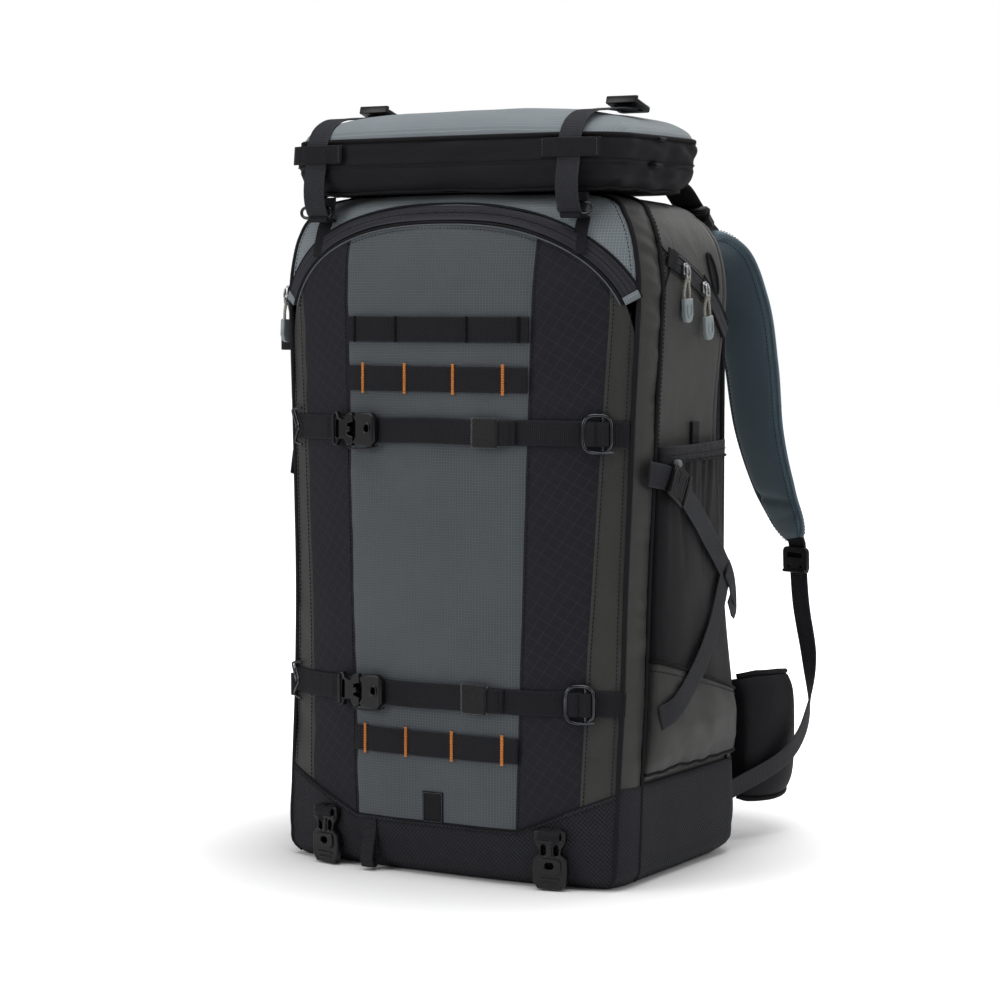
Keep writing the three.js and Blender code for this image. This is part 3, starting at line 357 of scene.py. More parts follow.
body_width, body_height = 0.324, 0.541
front_reach, back_reach = 0.115, 0.110
gusset_depth, gusset_flare, back_corner = 0.030, 0.004, 0.024
lift = 0.002
body_top = lift + body_height
# Columns: up as a share of the height, wide and tail of half the width, crown and edge of the front reach,
# back of the back reach. Crown is the middle of the front, edge the seam where the front panel ends, tail
# the rear width.
body_rows = np.array(
    [
        (0, 0.885, 0.86, 0.75, 0.9, 0.93), (0.013, 0.925, 0.94, 0.79, 0.955, 1.01),
        (0.04, 0.938, 0.975, 0.8, 0.97, 1.05), (0.11, 0.94, 0.995, 0.785, 0.975, 1.06),
        (0.26, 0.945, 1, 0.73, 0.93, 1.02), (0.42, 0.95, 1, 0.7, 0.9, 0.985),
        (0.56, 0.965, 1, 0.685, 0.9, 0.985), (0.69, 0.98, 0.995, 0.675, 0.905, 0.99),
        (0.8, 0.995, 0.99, 0.665, 0.94, 0.99), (0.865, 1, 0.98, 0.66, 0.955, 0.98),
        (0.905, 0.985, 0.96, 0.65, 0.945, 0.955), (0.94, 0.955, 0.92, 0.635, 0.92, 0.89),
        (0.965, 0.91, 0.865, 0.61, 0.875, 0.78), (0.989, 0.81, 0.77, 0.55, 0.78, 0.45),
        (1, 0.64, 0.62, 0.45, 0.61, 0),
    ]
)


def read_table(rows, share):
    """A table's columns at a share of its first one, along a smooth curve through its rows."""
    share = np.clip(np.asarray(share, float), rows[0, 0], rows[-1, 0])
    slope = np.gradient(rows[:, 1:], rows[:, 0], axis=0)
    low = np.clip(np.searchsorted(rows[:, 0], share, "right") - 1, 0, len(rows) - 2)
    span = (rows[low + 1, 0] - rows[low, 0])[..., None]
    t = (share - rows[low, 0])[..., None] / span
    start, end = rows[low, 1:], rows[low + 1, 1:]
    rise, fall = slope[low] * span, slope[low + 1] * span
    curve = (2 * t**3 - 3 * t**2 + 1) * start + (t**3 - 2 * t**2 + t) * rise
    return curve + (3 * t**2 - 2 * t**3) * end + (t**3 - t**2) * fall


def body_lines(z):
    """The named lines of the body at a height: half width, crown, edge, seam, rear and tail."""
    wide, crown, edge, tail, back = np.moveaxis(
        read_table(body_rows, (np.asarray(z) - lift) / body_height), -1, 0,
    )
    return {
        "half": wide * body_width / 2, "crown": -crown * front_reach, "edge": -edge * front_reach,
        "seam": -edge * front_reach + gusset_depth, "rear": back * back_reach,
        "tail": tail * body_width / 2,
    }


def mix(a, b, t):
    return a + (b - a) * t


def front_y(x, z):
    at = body_lines(z)
    return mix(at["crown"], at["edge"], np.minimum(1, np.abs(x) / at["half"]) ** 3)


def on_front(x, z, off=0.0):
    """Points on the body's front, stood off from it, and the outward directions there."""
    x, z = np.broadcast_arrays(np.asarray(x, float), np.asarray(z, float))
    step = 0.003
    across = (front_y(x + step, z) - front_y(x - step, z)) / (2 * step)
    up = (front_y(x, z + step) - front_y(x, z - step)) / (2 * step)
    out = np.stack([across, -np.ones_like(x), up], -1)
    out /= np.linalg.norm(out, axis=-1, keepdims=True)
    return np.stack([x, front_y(x, z), z], -1) + np.asarray(off)[..., None] * out, out


def rumple(points, size, seed=0.0):
    """Smooth uneven numbers from -1 to 1 at points, with bumps of about the given size."""
    flat = points.reshape(-1, 3) / size
    found = [noise.noise(Vector((p[0] + seed, p[1] - seed, p[2] + 2 * seed))) for p in flat]
    return np.array(found).reshape(points.shape[:-1])


def link_mesh(name, mesh, finishes, body="root"):
    obj = bpy.data.objects.new(name, mesh)
    scene.collection.objects.link(obj)
    for finish in finishes:
        mesh.materials.append(finish)
    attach(obj, body)
    return obj


def panel(name, points, flat, finishes, slot, thick=0.0012, finish_of=None, smooth=1, loop=False):
    """A cloth panel from a grid of points, its columns to the right from outside, and flat places."""
    rows, columns = points.shape[:2]
    index = np.arange(rows * columns).reshape(rows, columns)
    if loop:
        index = np.concatenate([index, index[:, :1]], 1)
    faces = np.stack([index[:-1, :-1], index[:-1, 1:], index[1:, 1:], index[1:, :-1]], -1)
    kinds = np.zeros(faces.shape[:2], int) if finish_of is None else finish_of
    mesh = bpy.data.meshes.new(name)
    mesh.from_pydata(points.reshape(-1, 3).tolist(), [], faces.reshape(-1, 4).tolist())
    layer = mesh.uv_layers.new(name="cloth")
    layer.data.foreach_set("uv", flat.reshape(-1, 2)[faces.reshape(-1)].ravel())
    mesh.polygons.foreach_set("material_index", kinds.reshape(-1).astype(np.int32))
    mesh.shade_smooth()
    obj = link_mesh(name, mesh, finishes)
    if thick:
        wall = obj.modifiers.new("wall", "SOLIDIFY")
        wall.thickness = thick
        wall.offset = -1
    if smooth:
        round_off = obj.modifiers.new("round_off", "SUBSURF")
        round_off.levels = round_off.render_levels = smooth
    return obj


def outward(points, loop=False):
    """The outward direction at each point of a grid."""
    across = np.gradient(points, axis=1)
    if loop:
        across = (np.roll(points, -1, 1) - np.roll(points, 1, 1)) / 2
    up = np.gradient(points, axis=0)
    out = np.cross(across, up)
    return out / np.maximum(np.linalg.norm(out, axis=-1, keepdims=True), 1e-12)


arch_half, arch_base, arch_rise, arch_power = 0.166, 0.415, 0.112, 2.4


def arch_z(x, grow=0.0):
    """Height of the zip's arch at a place across."""
    share = np.minimum(1, np.abs(x) / (arch_half + grow))
    return arch_base + (arch_rise + grow) * (1 - share**arch_power) ** (1 / arch_power)


def skirt_z(x):
    """Height of the black base's upper seam: low in the middle of the front and rising to the sides."""
    low, high, flat = 0.044, 0.080, 0.075
    return low + (high - low) * np.clip((np.abs(x) - flat) / (body_width / 2 - flat), 0, 1)


# Front pocket: a grey ripstop panel in the middle, a charcoal strip each side of it and an olive satin
# strip outside, sewn edge to edge and set into the arched zip. The seams lie in shallow grooves with a row
# of black stitches.
def centre_seam(z):
    return np.interp(z, (0.045, 0.50), (0.0735, 0.0865))


def strip_seam(z):
    return np.interp(z, (0.049, 0.189, 0.337, 0.45), (0.125, 0.129, 0.137, 0.1435))


def sewn_shares(count, tuck=0.045):
    """Places across a sewn panel, with one close to each seam."""
    return np.concatenate([[0, tuck], np.linspace(tuck, 1 - tuck, count)[1:-1], [1 - tuck, 1]])


def pocket_columns():
    """Each column of the right half as (strip number, share across it): 0 middle, 1 charcoal, 2 olive."""
    found = [(0, t) for t in np.linspace(0, 0.97, 12)] + [(0, 1.0)]
    found += [(1, t) for t in sewn_shares(9)[1:]]
    found += [(2, t) for t in sewn_shares(5)[1:]]
    return found


def column_x(kind, share, z):
    """How far across a column of the pocket lies at a height."""
    edges = [0 * z, centre_seam(z), strip_seam(z), body_lines(z)["half"]]
    return mix(edges[kind], edges[kind + 1], share)


def meeting_height(place, grow, low=0.40, high=0.54):
    """The height at which a column meets the arch, found by halving."""
    for _ in range(30):
        middle = (low + high) / 2
        if middle < arch_z(place(np.array(middle)), grow):
            low = middle
        else:
            high = middle
    return low


pocket_row_count = 96
right_columns = pocket_columns()
columns = [(-1, *c) for c in reversed(right_columns[1:])] + [(1, *c) for c in right_columns]
pocket_x = np.zeros((pocket_row_count, len(columns)))
pocket_z = np.zeros_like(pocket_x)
for c, (side, kind, share) in enumerate(columns):
    top = meeting_height(lambda z: column_x(kind, share, z), -0.005)
    foot = float(skirt_z(column_x(kind, share, np.array(0.06)))) - 0.006
    pocket_z[:, c] = np.linspace(foot, top, pocket_row_count)
    pocket_x[:, c] = side * column_x(kind, share, pocket_z[:, c])
pocket_points, pocket_out = on_front(pocket_x, pocket_z, -0.0002)
seam_columns = np.array([kind in (0, 1) and share == 1.0 for _, kind, share in columns])
groove = np.where(seam_columns, -0.0011, 0.0)[None, :]
webbing_rows = {"top": 0.436, "middle": 0.397, "upper": 0.356, "lower": 0.146, "bottom": 0.107}
held = sum(np.exp(-(((pocket_z - z) / 0.013) ** 2)) for z in webbing_rows.values())
loose = rumple(pocket_points, 0.07, 3.1) * 0.0011 + rumple(pocket_points * (1, 1, 1.9), 0.022, 8.4) * 0.0007
swell = 0.0006 - 0.0012 * np.minimum(1, held)
pocket_points += pocket_out * (groove + (loose * (1 - 0.7 * np.minimum(1, held)) + swell))[..., None]
strip_of = np.array([(a if a[0] < 0 else b)[1] for a, b in zip(columns[:-1], columns[1:])])
panel(
    "front_pocket_cloth", pocket_points, np.stack([pocket_x, pocket_z], -1),
    [grey_ripstop, charcoal_cloth, olive_satin], "grey_cloth",
    finish_of=np.broadcast_to(strip_of, (pocket_row_count - 1, len(strip_of))),
)
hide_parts("front_pocket")

# Yoke: the pale ripstop panel between the arched zip and the top seam, one piece from side to side.
yoke_rows = 26
yoke_shares = np.concatenate([-np.linspace(1, 0, 34)[:-1], np.linspace(0, 1, 34)])
yoke_top = body_top - 0.001
yoke_x = np.zeros((yoke_rows, len(yoke_shares)))
yoke_z = np.zeros_like(yoke_x)
for c, share in enumerate(yoke_shares):
    foot = meeting_height(lambda z: abs(share) * body_lines(z)["half"], 0.005)
    yoke_z[:, c] = mix(foot, yoke_top, np.linspace(0, 1, yoke_rows) ** 0.8)
    yoke_x[:, c] = share * body_lines(yoke_z[:, c])["half"]
yoke_points, yoke_out = on_front(yoke_x, yoke_z, -0.0002)
yoke_points += yoke_out * (rumple(yoke_points, 0.06, 5.5) * 0.0012 + 0.0008)[..., None]
panel("yoke_cloth", yoke_points, np.stack([yoke_x, yoke_z], -1), [pale_ripstop], "grey_cloth")


# Piping and stitches: a cord wrapped in black cloth in each corner seam of the body, with a row of black
# stitches beside it. Webbing, tapes and binding are the same kind of sweep, a flat section carried along a
# line.
def frames(path, out, loop=False):
    """Directions along, across and out at each point of a path, out being made square to it."""
    path = np.asarray(path, float)
    ahead = np.roll(path, -1, 0) - np.roll(path, 1, 0) if loop else np.gradient(path, axis=0)
    along = ahead / np.linalg.norm(ahead, axis=1, keepdims=True)
    out = np.broadcast_to(np.asarray(out, float), path.shape)
    out = out - (out * along).sum(1, keepdims=True) * along
    out = out / np.linalg.norm(out, axis=1, keepdims=True)
    return along, np.cross(along, out), out


def run_length(path):
    """How far along a path each of its points lies."""
    return np.concatenate([[0], np.cumsum(np.linalg.norm(np.diff(path, axis=0), axis=1))])


def even_path(path, step):
    """The path again, with points a step apart."""
    path = np.asarray(path, float)
    lengths = run_length(path)
    count = max(2, int(round(lengths[-1] / step)) + 1)
    at = np.linspace(0, lengths[-1], count)
    return np.stack([np.interp(at, lengths, path[:, k]) for k in range(path.shape[1])], 1)


def sweep_mesh(name, path, out, section, loop=False, widths=None):
    """A closed section of (across, out) points swept along a path, with flat places for a weave."""
    path = np.asarray(path, float)
    _, across, out = frames(path, out, loop)
    section = np.asarray(section, float)
    widths = np.ones(len(path)) if widths is None else np.asarray(widths, float)
    rings = path[:, None] + section[None, :, :1] * widths[
        :, None, None,
    ] * across[:, None] + section[None, :, 1:] * out[:, None]
    count, sides = rings.shape[:2]
    index = np.arange(count * sides).reshape(count, sides)
    if loop:
        index = np.concatenate([index, index[:1]], 0)
    around = np.concatenate([index, index[:, :1]], 1)
    faces = np.stack(
        [around[:-1, :-1], around[:-1, 1:], around[1:, 1:], around[1:, :-1]], -1,
    ).reshape(-1, 4).tolist()
    if not loop:
        faces += [index[0].tolist()[::-1], index[-1].tolist()]
    mesh = bpy.data.meshes.new(name)
    mesh.from_pydata(rings.reshape(-1, 3).tolist(), [], faces)
    length = run_length(path)
    flat = np.stack(np.broadcast_arrays(section[None, :, 0], length[:, None]), -1).reshape(-1, 2)
    layer = mesh.uv_layers.new(name="cloth")
    corners = np.zeros(len(mesh.loops), np.int32)
    mesh.loops.foreach_get("vertex_index", corners)
    layer.data.foreach_set("uv", flat[corners].ravel())
    mesh.shade_smooth()
    bm = bmesh.new()
    bm.from_mesh(mesh)
    bmesh.ops.recalc_face_normals(bm, faces=bm.faces)
    bm.to_mesh(mesh)
    bm.free()
    return mesh


def round_section(radius, sides=8):
    turn = np.arange(sides) * 2 * math.pi / sides
    return np.stack([radius * np.cos(turn), radius * np.sin(turn)], 1)


def flat_section(width, thick, steps=6):
    """Webbing cut across: flat, with rounded edges."""
    edge = thick / 2
    top = np.linspace(-width / 2 + edge, width / 2 - edge, steps)
    upper = [(-width / 2, 0), (-width / 2 + 0.3 * edge, 0.7 * edge)] + [(x, edge) for x in top]
    upper += [(width / 2 - 0.3 * edge, 0.7 * edge), (width / 2, 0)]
    lower = [(x, -y) for x, y in reversed(upper[1:-1])]
    return upper + lower


def join_meshes(name, meshes, finishes, kinds=None):
    """One piece from several meshes, each with the finish of its number in kinds."""
    bm = bmesh.new()
    for k, mesh in enumerate(meshes):
        start = len(bm.faces)
        bm.from_mesh(mesh)
        bm.faces.ensure_lookup_table()
        for face in bm.faces[start:]:
            face.material_index = kinds[k] if kinds else 0
        bpy.data.meshes.remove(mesh)
    whole = bpy.data.meshes.new(name)
    bm.to_mesh(whole)
    bm.free()
    return link_mesh(name, whole, finishes)


def stitch_mesh(path, out, pitch=0.0034, length=0.0024, thick=0.0007, off=0.0003):
    """A row of stitches along a path, each a short rounded bar half sunk in the cloth."""
    path = np.asarray(path, float)
    run = run_length(path)
    marks = np.linspace(0, run[-1], max(int(run[-1] / pitch), 1) + 1)
    place = np.stack([np.interp(marks, run, part) for part in path.T], 1)
    out = np.stack([np.interp(marks, run, part) for part in np.broadcast_to(out, path.shape).T], 1)
    along, across, out = frames(place, out)
    shape = [(-0.5, 0.35), (-0.3, 1.0), (0.3, 1.0), (0.5, 0.35)]
    corners, faces = [], []
    for p, a, c, o in zip(place[:-1] + np.diff(place, axis=0) / 2, along[:-1], across[:-1], out[:-1]):
        first = len(corners)
        for t, wide in shape:
            for turn in range(6):
                angle = turn * math.pi / 3
                side = math.cos(angle) * wide * thick / 2
                rise = math.sin(angle) * wide * thick / 2 + off
                corners.append(p + a * t * length + c * side + o * rise)
        for ring in range(3):
            for turn in range(6):
                low = first + ring * 6
                faces.append((low + turn, low + (turn + 1) % 6, low + 6 + (turn + 1) % 6, low + 6 + turn))
        faces.append(tuple(first + k for k in range(5, -1, -1)))
        faces.append(tuple(first + 18 + k for k in range(6)))
    mesh = bpy.data.meshes.new("stitches")
    mesh.from_pydata([tuple(p) for p in corners], [], faces)
    mesh.shade_smooth()
    return mesh


def mirror_mesh(mesh):
    """The same mesh on the other side of the pack."""
    copy = mesh.copy()
    copy.transform(Matrix.Scale(-1, 4, (1, 0, 0)))
    copy.flip_normals()
    return copy


corner_heights = np.concatenate([np.linspace(0.004, 0.48, 120), np.linspace(0.484, body_top - 0.001, 26)])
corner_at = body_lines(corner_heights)
corner_out = np.array((1, -1, 0)) / math.sqrt(2)
front_piping = np.stack([corner_at["half"], corner_at["edge"], corner_heights], 1) + corner_out * 0.0004
rear_piping = np.stack(
    [corner_at["half"] + gusset_flare, corner_at["seam"], corner_heights], 1,
) + np.array((0.0006, 0, 0))
piping = [
    sweep_mesh("piping", front_piping, corner_out, round_section(0.0021)),
    sweep_mesh("piping", rear_piping, (1, 0, 0), round_section(0.0023)),
]
join_meshes("piping", piping + [mirror_mesh(m) for m in piping], [black_weave])

seam_rows = []
stitch_z = np.linspace(0.052, 0.535, 160)
stitch_at = body_lines(stitch_z)
beside, beside_out = on_front(stitch_at["half"] - 0.0045, stitch_z, 0.0004)
seam_rows.append(stitch_mesh(beside[stitch_z < 0.45], beside_out[stitch_z < 0.45]))
seam_rows.append(stitch_mesh(beside[stitch_z > 0.455], beside_out[stitch_z > 0.455]))
for seam, head, foot in ((centre_seam, 0.512, 0.046), (strip_seam, 0.470, 0.062)):
    z = np.linspace(foot, head, 140)
    z = z[z < arch_z(seam(z), -0.006)]
    for shift in (0.0022,):
        line, line_out = on_front(seam(z) + shift, z, 0.0003)
        seam_rows.append(stitch_mesh(line, line_out))
side_line = np.stack([stitch_at["half"] + gusset_flare + 0.0004, stitch_at["seam"] + 0.005, stitch_z], 1)
seam_rows.append(stitch_mesh(side_line, (1, 0, 0), off=0.0006))
join_meshes("body_stitches", seam_rows + [mirror_mesh(m) for m in seam_rows], [thread_black])

# Gussets: a band of olive satin down each front corner, sewn between the two pipings. It is cut longer than
# the seams that hold it, so it puckers into short slanting folds.
gusset_rows, gusset_columns = 300, 9
gusset_z = np.concatenate(
    [np.linspace(0.004, 0.48, gusset_rows - 60), np.linspace(0.482, body_top - 0.001, 60)]
)
gusset_at = body_lines(gusset_z)
across_share = np.linspace(0, 1, gusset_columns)
gusset_x = mix(gusset_at["half"][:, None], gusset_at["half"][:, None] + gusset_flare, across_share)
gusset_y = mix(gusset_at["edge"][:, None], gusset_at["seam"][:, None], across_share)
gusset_points = np.stack([gusset_x, gusset_y, np.broadcast_to(gusset_z[:, None], gusset_x.shape)], -1)
bulge = np.sin(math.pi * across_share)[None, :] * 0.0026
slant = gusset_points[..., 2] + 0.35 * (gusset_points[..., 1] - gusset_y[:, :1])
folds = np.stack([slant * 0 + 1.3, slant, slant * 0], -1)
amount = np.interp(gusset_z, (0, 0.08, 0.2, 0.36, 0.50, 0.543), (0.2, 0.5, 0.6, 1.0, 1.0, 0.3))[:, None]
pleats = (rumple(folds, 0.0095, 2.2) * 0.0026 + rumple(folds, 0.021, 6.1) * 0.0016) * amount
held_edges = np.sin(math.pi * np.clip(across_share, 0.02, 0.98)) ** 0.55
gusset_points[..., 0] += bulge + pleats * held_edges
gusset_flat = np.stack([gusset_y, np.broadcast_to(gusset_z[:, None], gusset_y.shape)], -1)


def pair_of_panels(name, points, flat, finishes, slot, **options):
    """The panel on the right side of the pack, and its mirror image on the left."""
    right = panel(f"{name}_right", points, flat, finishes, slot, **options)
    turned = points[:, ::-1] * (-1, 1, 1)
    kinds = options.pop("finish_of", None)
    if kinds is not None:
        options["finish_of"] = kinds[:, ::-1]
    left = panel(f"{name}_left", turned, flat[:, ::-1], finishes, slot, **options)
    return right, left


pair_of_panels("gusset_cloth", gusset_points, gusset_flat, [olive_satin], "olive_cloth", smooth=0)

# Side panels and rim: olive satin over foam from the rear piping round the rear corner to the back panel,
# with a flat olive top under the lid. The cloth lies in long soft waves between the zip and the pocket.
side_rows, side_columns = 110, 30
side_z = np.concatenate(
    [np.linspace(0.004, 0.46, side_rows - 30), np.linspace(0.464, body_top - 0.001, 30)]
)
side_shares = np.concatenate([[0, 0.02], np.linspace(0.05, 1, side_columns - 2)])


def side_point(share, z, off=0.0):
    """A place on the side: share 0 at the gusset seam, 1 where the rear corner begins."""
    at = body_lines(z)
    corner = np.minimum(back_corner, (at["rear"] - at["seam"]) / 3)
    x = mix(at["half"] + gusset_flare, at["tail"], share) + off
    return np.stack(np.broadcast_arrays(x, mix(at["seam"], at["rear"] - corner, share), z), -1)


side_points = side_point(side_shares[None, :], side_z[:, None])
wave = rumple(side_points * (1, 0.8, 0.8), 0.075, 1.7) * 0.0024 + rumple(side_points, 0.03, 9.9) * 0.0007
edge_fade = np.sin(math.pi * np.clip(side_shares, 0.0, 1.0)) ** 0.6
above_cover = np.clip((side_z - 0.082) / 0.020, 0, 1)[:, None]
side_points[..., 0] += (wave + 0.0012) * edge_fade[None, :] * above_cover - 0.0009 * (side_shares < 0.01)
side_points[..., 0] -= 0.0016 * (1 - above_cover)
side_flat = side_points[..., 1:3].copy()
pair_of_panels("side_cloth", side_points, side_flat, [olive_satin], "olive_cloth", smooth=0)

corner_turn = np.linspace(0, math.pi / 2, 8)
rear_shares = np.linspace(0, 1, 12)[1:]


def rear_ring(z):
    """The rear corner and the rear face at a height, from the right side to the middle."""
    at = body_lines(z)
    corner = np.minimum(back_corner, (at["rear"] - at["seam"]) / 3)
    x = at["tail"] - corner * (1 - np.cos(corner_turn))
    y = at["rear"] - corner * (1 - np.sin(corner_turn))
    flat_x = mix(x[-1], 0.0, rear_shares)
    return np.stack(
        [
            np.concatenate([x, flat_x]), np.concatenate([y, flat_x * 0 + at["rear"]]),
            x[0] * 0 + np.full(len(x) + len(flat_x), z),
        ],
        1,
    )


rear_half = np.stack([rear_ring(z) for z in side_z])
rear_points = np.concatenate([rear_half, rear_half[:, -2::-1] * (-1, 1, 1)], 1)
rear_points += outward(rear_points) * (rumple(rear_points, 0.06, 4.4) * 0.0008)[..., None]
rear_length = run_length(rear_points[40])
rear_flat = np.stack(np.broadcast_arrays(rear_length[None, :], side_z[:, None]), -1)
rear_cloth = panel("rear_rim_cloth", rear_points, rear_flat, [olive_satin], "olive_cloth", smooth=0)
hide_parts("body_shell")

top_at = body_lines(np.array(body_top - 0.001))
top_ring = np.concatenate(
    [
        on_front(np.linspace(-top_at["half"], top_at["half"], 24), body_top - 0.001)[0],
        side_point(side_shares, np.array(body_top - 0.001))[1:], rear_points[-1][1:-1],
        (side_point(side_shares, np.array(body_top - 0.001)) * (-1, 1, 1))[::-1][:-1],
    ]
)
top_centre = np.array((0, -0.03, body_top + 0.0002))
top_points = np.stack([mix(top_ring, top_centre, t) for t in (0, 0.08, 0.3, 0.6, 0.9)])
panel("body_top_cloth", top_points, top_points[..., :2].copy(), [olive_satin], "olive_cloth", loop=True)

# Base cover: coarse black cloth over the foot of the body, its upper edge low in front and higher at the
# sides. It wraps under the pack, which stands on it.
cover_stations = np.concatenate(
    [
        np.linspace(-1, 1, 60)[:-1], 1 + np.linspace(0, 1, 10)[:-1], 2 + np.linspace(0, 1, 30)[:-1],
        3 + np.linspace(0, 1, 8), 4 + np.linspace(0, 1, 12)[1:],
    ]
)


def around_body(station, z, off):
    """A place on the outline: -1 to 1 is the front, to 2 the gusset, to 3 the side, to 4 the corner."""
    at = body_lines(z)
    corner = min(back_corner, (at["rear"] - at["seam"]) / 3)
    if station <= 1:
        place, out = on_front(station * at["half"], z, off)
        return place
    if station <= 2:
        t = station - 1
        x = at["half"] + gusset_flare * t + 0.0026 * math.sin(math.pi * t) * 0.6
        return np.array(
            (x + off * mix(0.7, 1, t), mix(at["edge"], at["seam"], t) - off * mix(0.7, 0, t), z)
        )
    if station <= 3:
        return side_point(station - 2, z, off)
    turn = min(station - 3, 1) * math.pi / 2
    reach_out = corner + off
    place = np.array(
        (
            at["tail"] - corner + reach_out * math.cos(turn),
            at["rear"] - corner + reach_out * math.sin(turn), z,
        )
    )
    if station > 4:
        place[0] = mix(place[0], 0.0, station - 4)
    return place


cover_off = 0.0015
cover_levels = np.concatenate([[0.0, 0.02, 0.05, 0.09], np.linspace(0.14, 1, 14)])
half_cover = []
for level in cover_levels:
    ring = []
    for station in cover_stations:
        x_here = abs(around_body(station, 0.05, 0)[0]) if station <= 1 else body_width / 2
        head = float(skirt_z(x_here))
        ring.append(around_body(station, mix(lift + 0.0004, head, level), cover_off))
    half_cover.append(ring)
half_cover = np.array(half_cover)
left_part = (half_cover[:, (cover_stations > 1) & (cover_stations < 5)] * (-1, 1, 1))[:, ::-1]
cover_points = np.concatenate([half_cover, left_part], 1)
cover_points += outward(cover_points, True) * (rumple(cover_points, 0.05, 7.7) * 0.0009)[..., None]
inner_scales = (0.0, 0.25, 0.6, 0.9)
middle = np.array((0, 0, 0.0004))
under = np.stack(
    [mix(cover_points[0] * (1, 1, 0) + (0, 0, 0.0004), middle, t) for t in reversed(inner_scales)]
)
under[-1] = mix(cover_points[0], middle, 0.025) * (1, 1, 0) + (0, 0, 0.0004)
cover_points = np.concatenate([under, cover_points])
cover_length = run_length(cover_points[8])
cover_flat = np.stack(np.broadcast_arrays(cover_length[None, :], cover_points[..., 2]), -1)
cover_flat[:4] = under[..., :2]
base_cloth = panel(
    "base_cover_cloth", cover_points, cover_flat, [base_weave], "base_cloth", smooth=0, loop=True,
)
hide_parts("base_cover")
skirt_x = np.linspace(-1, 1, 90) * body_lines(np.array(0.075))["half"]
skirt_line, skirt_out = on_front(skirt_x, skirt_z(skirt_x) - 0.003, cover_off + 0.0004)
skirt_edge, edge_out = on_front(skirt_x, skirt_z(skirt_x), cover_off * 0.5)
join_meshes(
    "base_seam",
    [stitch_mesh(skirt_line, skirt_out), sweep_mesh("hem", skirt_edge, edge_out, round_section(0.0011, 6))],
    [thread_black],
)

# Arched zip of the front pocket: a coated tape with its coil under it, so that the teeth show as fine ribs
# each side of a dark slit. It lies between two black grooves with a thin pale cord below, and a pale tab
# covers each end.
def ribbed_tape(name, dark, slit_half, rib_half, pitch):
    """Coated zip tape: ribs where the coil lies beneath, their tops painted lighter as a highlight, and a
    slit along the middle painted near black as the shade in the gap.
    """
    material, tree, shader = bare_material(name, 0.46, Specular_IOR_Level=0.22)
    flat = node(tree, "ShaderNodeUVMap", settings={"uv_map": "cloth"}).outputs[0]
    part = node(tree, "ShaderNodeSeparateXYZ", flat)
    side = sums(tree, "ABSOLUTE", part.outputs[0])
    ribs = sums(tree, "SINE", sums(tree, "MULTIPLY", part.outputs[1], 2 * math.pi / pitch))
    on_coil = sums(tree, "LESS_THAN", side, rib_half)
    slit = sums(tree, "LESS_THAN", side, slit_half)
    faded = group_node(tree, fading, Vector=node(tree, "ShaderNodeTexCoord").outputs["Object"])
    ground = blend_colour(tree, faded.outputs[0], dark, [c * 1.35 for c in dark[:3]] + [1])
    # Painted highlight: the rib tops over the coil are painted lighter than the tape; the same ribs also
    # raise the bump.
    ridge = sums(tree, "MULTIPLY", sums(tree, "MULTIPLY_ADD", ribs, 0.5, 0.5), on_coil)
    rib_highlight_colour = blend_colour(
        tree, sums(tree, "MULTIPLY", ridge, 0.5), ground, [c * 2.1 for c in dark[:3]] + [1]
    )
    # Painted shade: the slit between the tapes is painted near black.
    colour = blend_colour(tree, slit, rib_highlight_colour, shade("#050506"))
    tree.links.new(colour, shader.inputs["Base Color"])
    height = sums(tree, "SUBTRACT", ridge, sums(tree, "MULTIPLY", slit, 2.0))
    rise = node(tree, "ShaderNodeBump", Strength=0.6, Distance=0.0006, Height=height)
    tree.links.new(rise.outputs[0], shader.inputs["Normal"])
    return material


arch_tape = ribbed_tape("arch_tape", shade("#26262b"), 0.0004, 0.0027, 0.0016)
arch_turn = np.linspace(math.pi, 0, 400)
arch_x = np.sign(np.cos(arch_turn)) * np.abs(np.cos(arch_turn)) ** (2 / arch_power) * arch_half
arch_line = np.stack([arch_x, arch_base + np.sin(arch_turn) ** (2 / arch_power) * arch_rise], 1)
arch_line = arch_line[np.abs(arch_line[:, 0]) < body_lines(arch_line[:, 1])["half"] - 0.003]
arch_line = even_path(arch_line, 0.003)
arch_side = np.gradient(arch_line, axis=0)[:, ::-1] * (-1, 1)
arch_side /= np.linalg.norm(arch_side, axis=1, keepdims=True)


def beside_arch(shift, off):
    """A line beside the zip, outside it where shift is positive, and the outward directions along it."""
    line = arch_line + shift * arch_side
    return on_front(line[:, 0], line[:, 1], off)


tape_path, tape_out = beside_arch(0.0, 0.0013)
arch_zip = link_mesh(
    "arch_zip", sweep_mesh("tape", tape_path, tape_out, flat_section(0.0128, 0.0014, 9)), [arch_tape],
)
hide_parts("zip_arch")
grooves = []
for shift, radius in ((0.0071, 0.0012), (-0.0071, 0.0011)):
    line, out = beside_arch(shift, 0.0007)
    grooves.append(sweep_mesh("groove", line, out, round_section(radius, 6)))
join_meshes("arch_grooves", grooves, [black_weave])
pale_line, pale_out = beside_arch(-0.0089, 0.0006)
inner_line, inner_out = beside_arch(-0.0118, 0.0002)
link_mesh(
    "arch_cord", sweep_mesh("cord", pale_line, pale_out, round_section(0.0007, 6)), [thread_grey],
)
link_mesh("arch_stitches", stitch_mesh(inner_line, inner_out, thick=0.0005), [thread_black])
garages = []
for end in (slice(0, 3), slice(-3, None)):
    garages.append(
        sweep_mesh(
            "garage", tape_path[end] + tape_out[end] * 0.0013, tape_out[end], flat_section(0.0135, 0.0010),
        )
    )
join_meshes("arch_zip_ends", garages, [pale_ripstop])


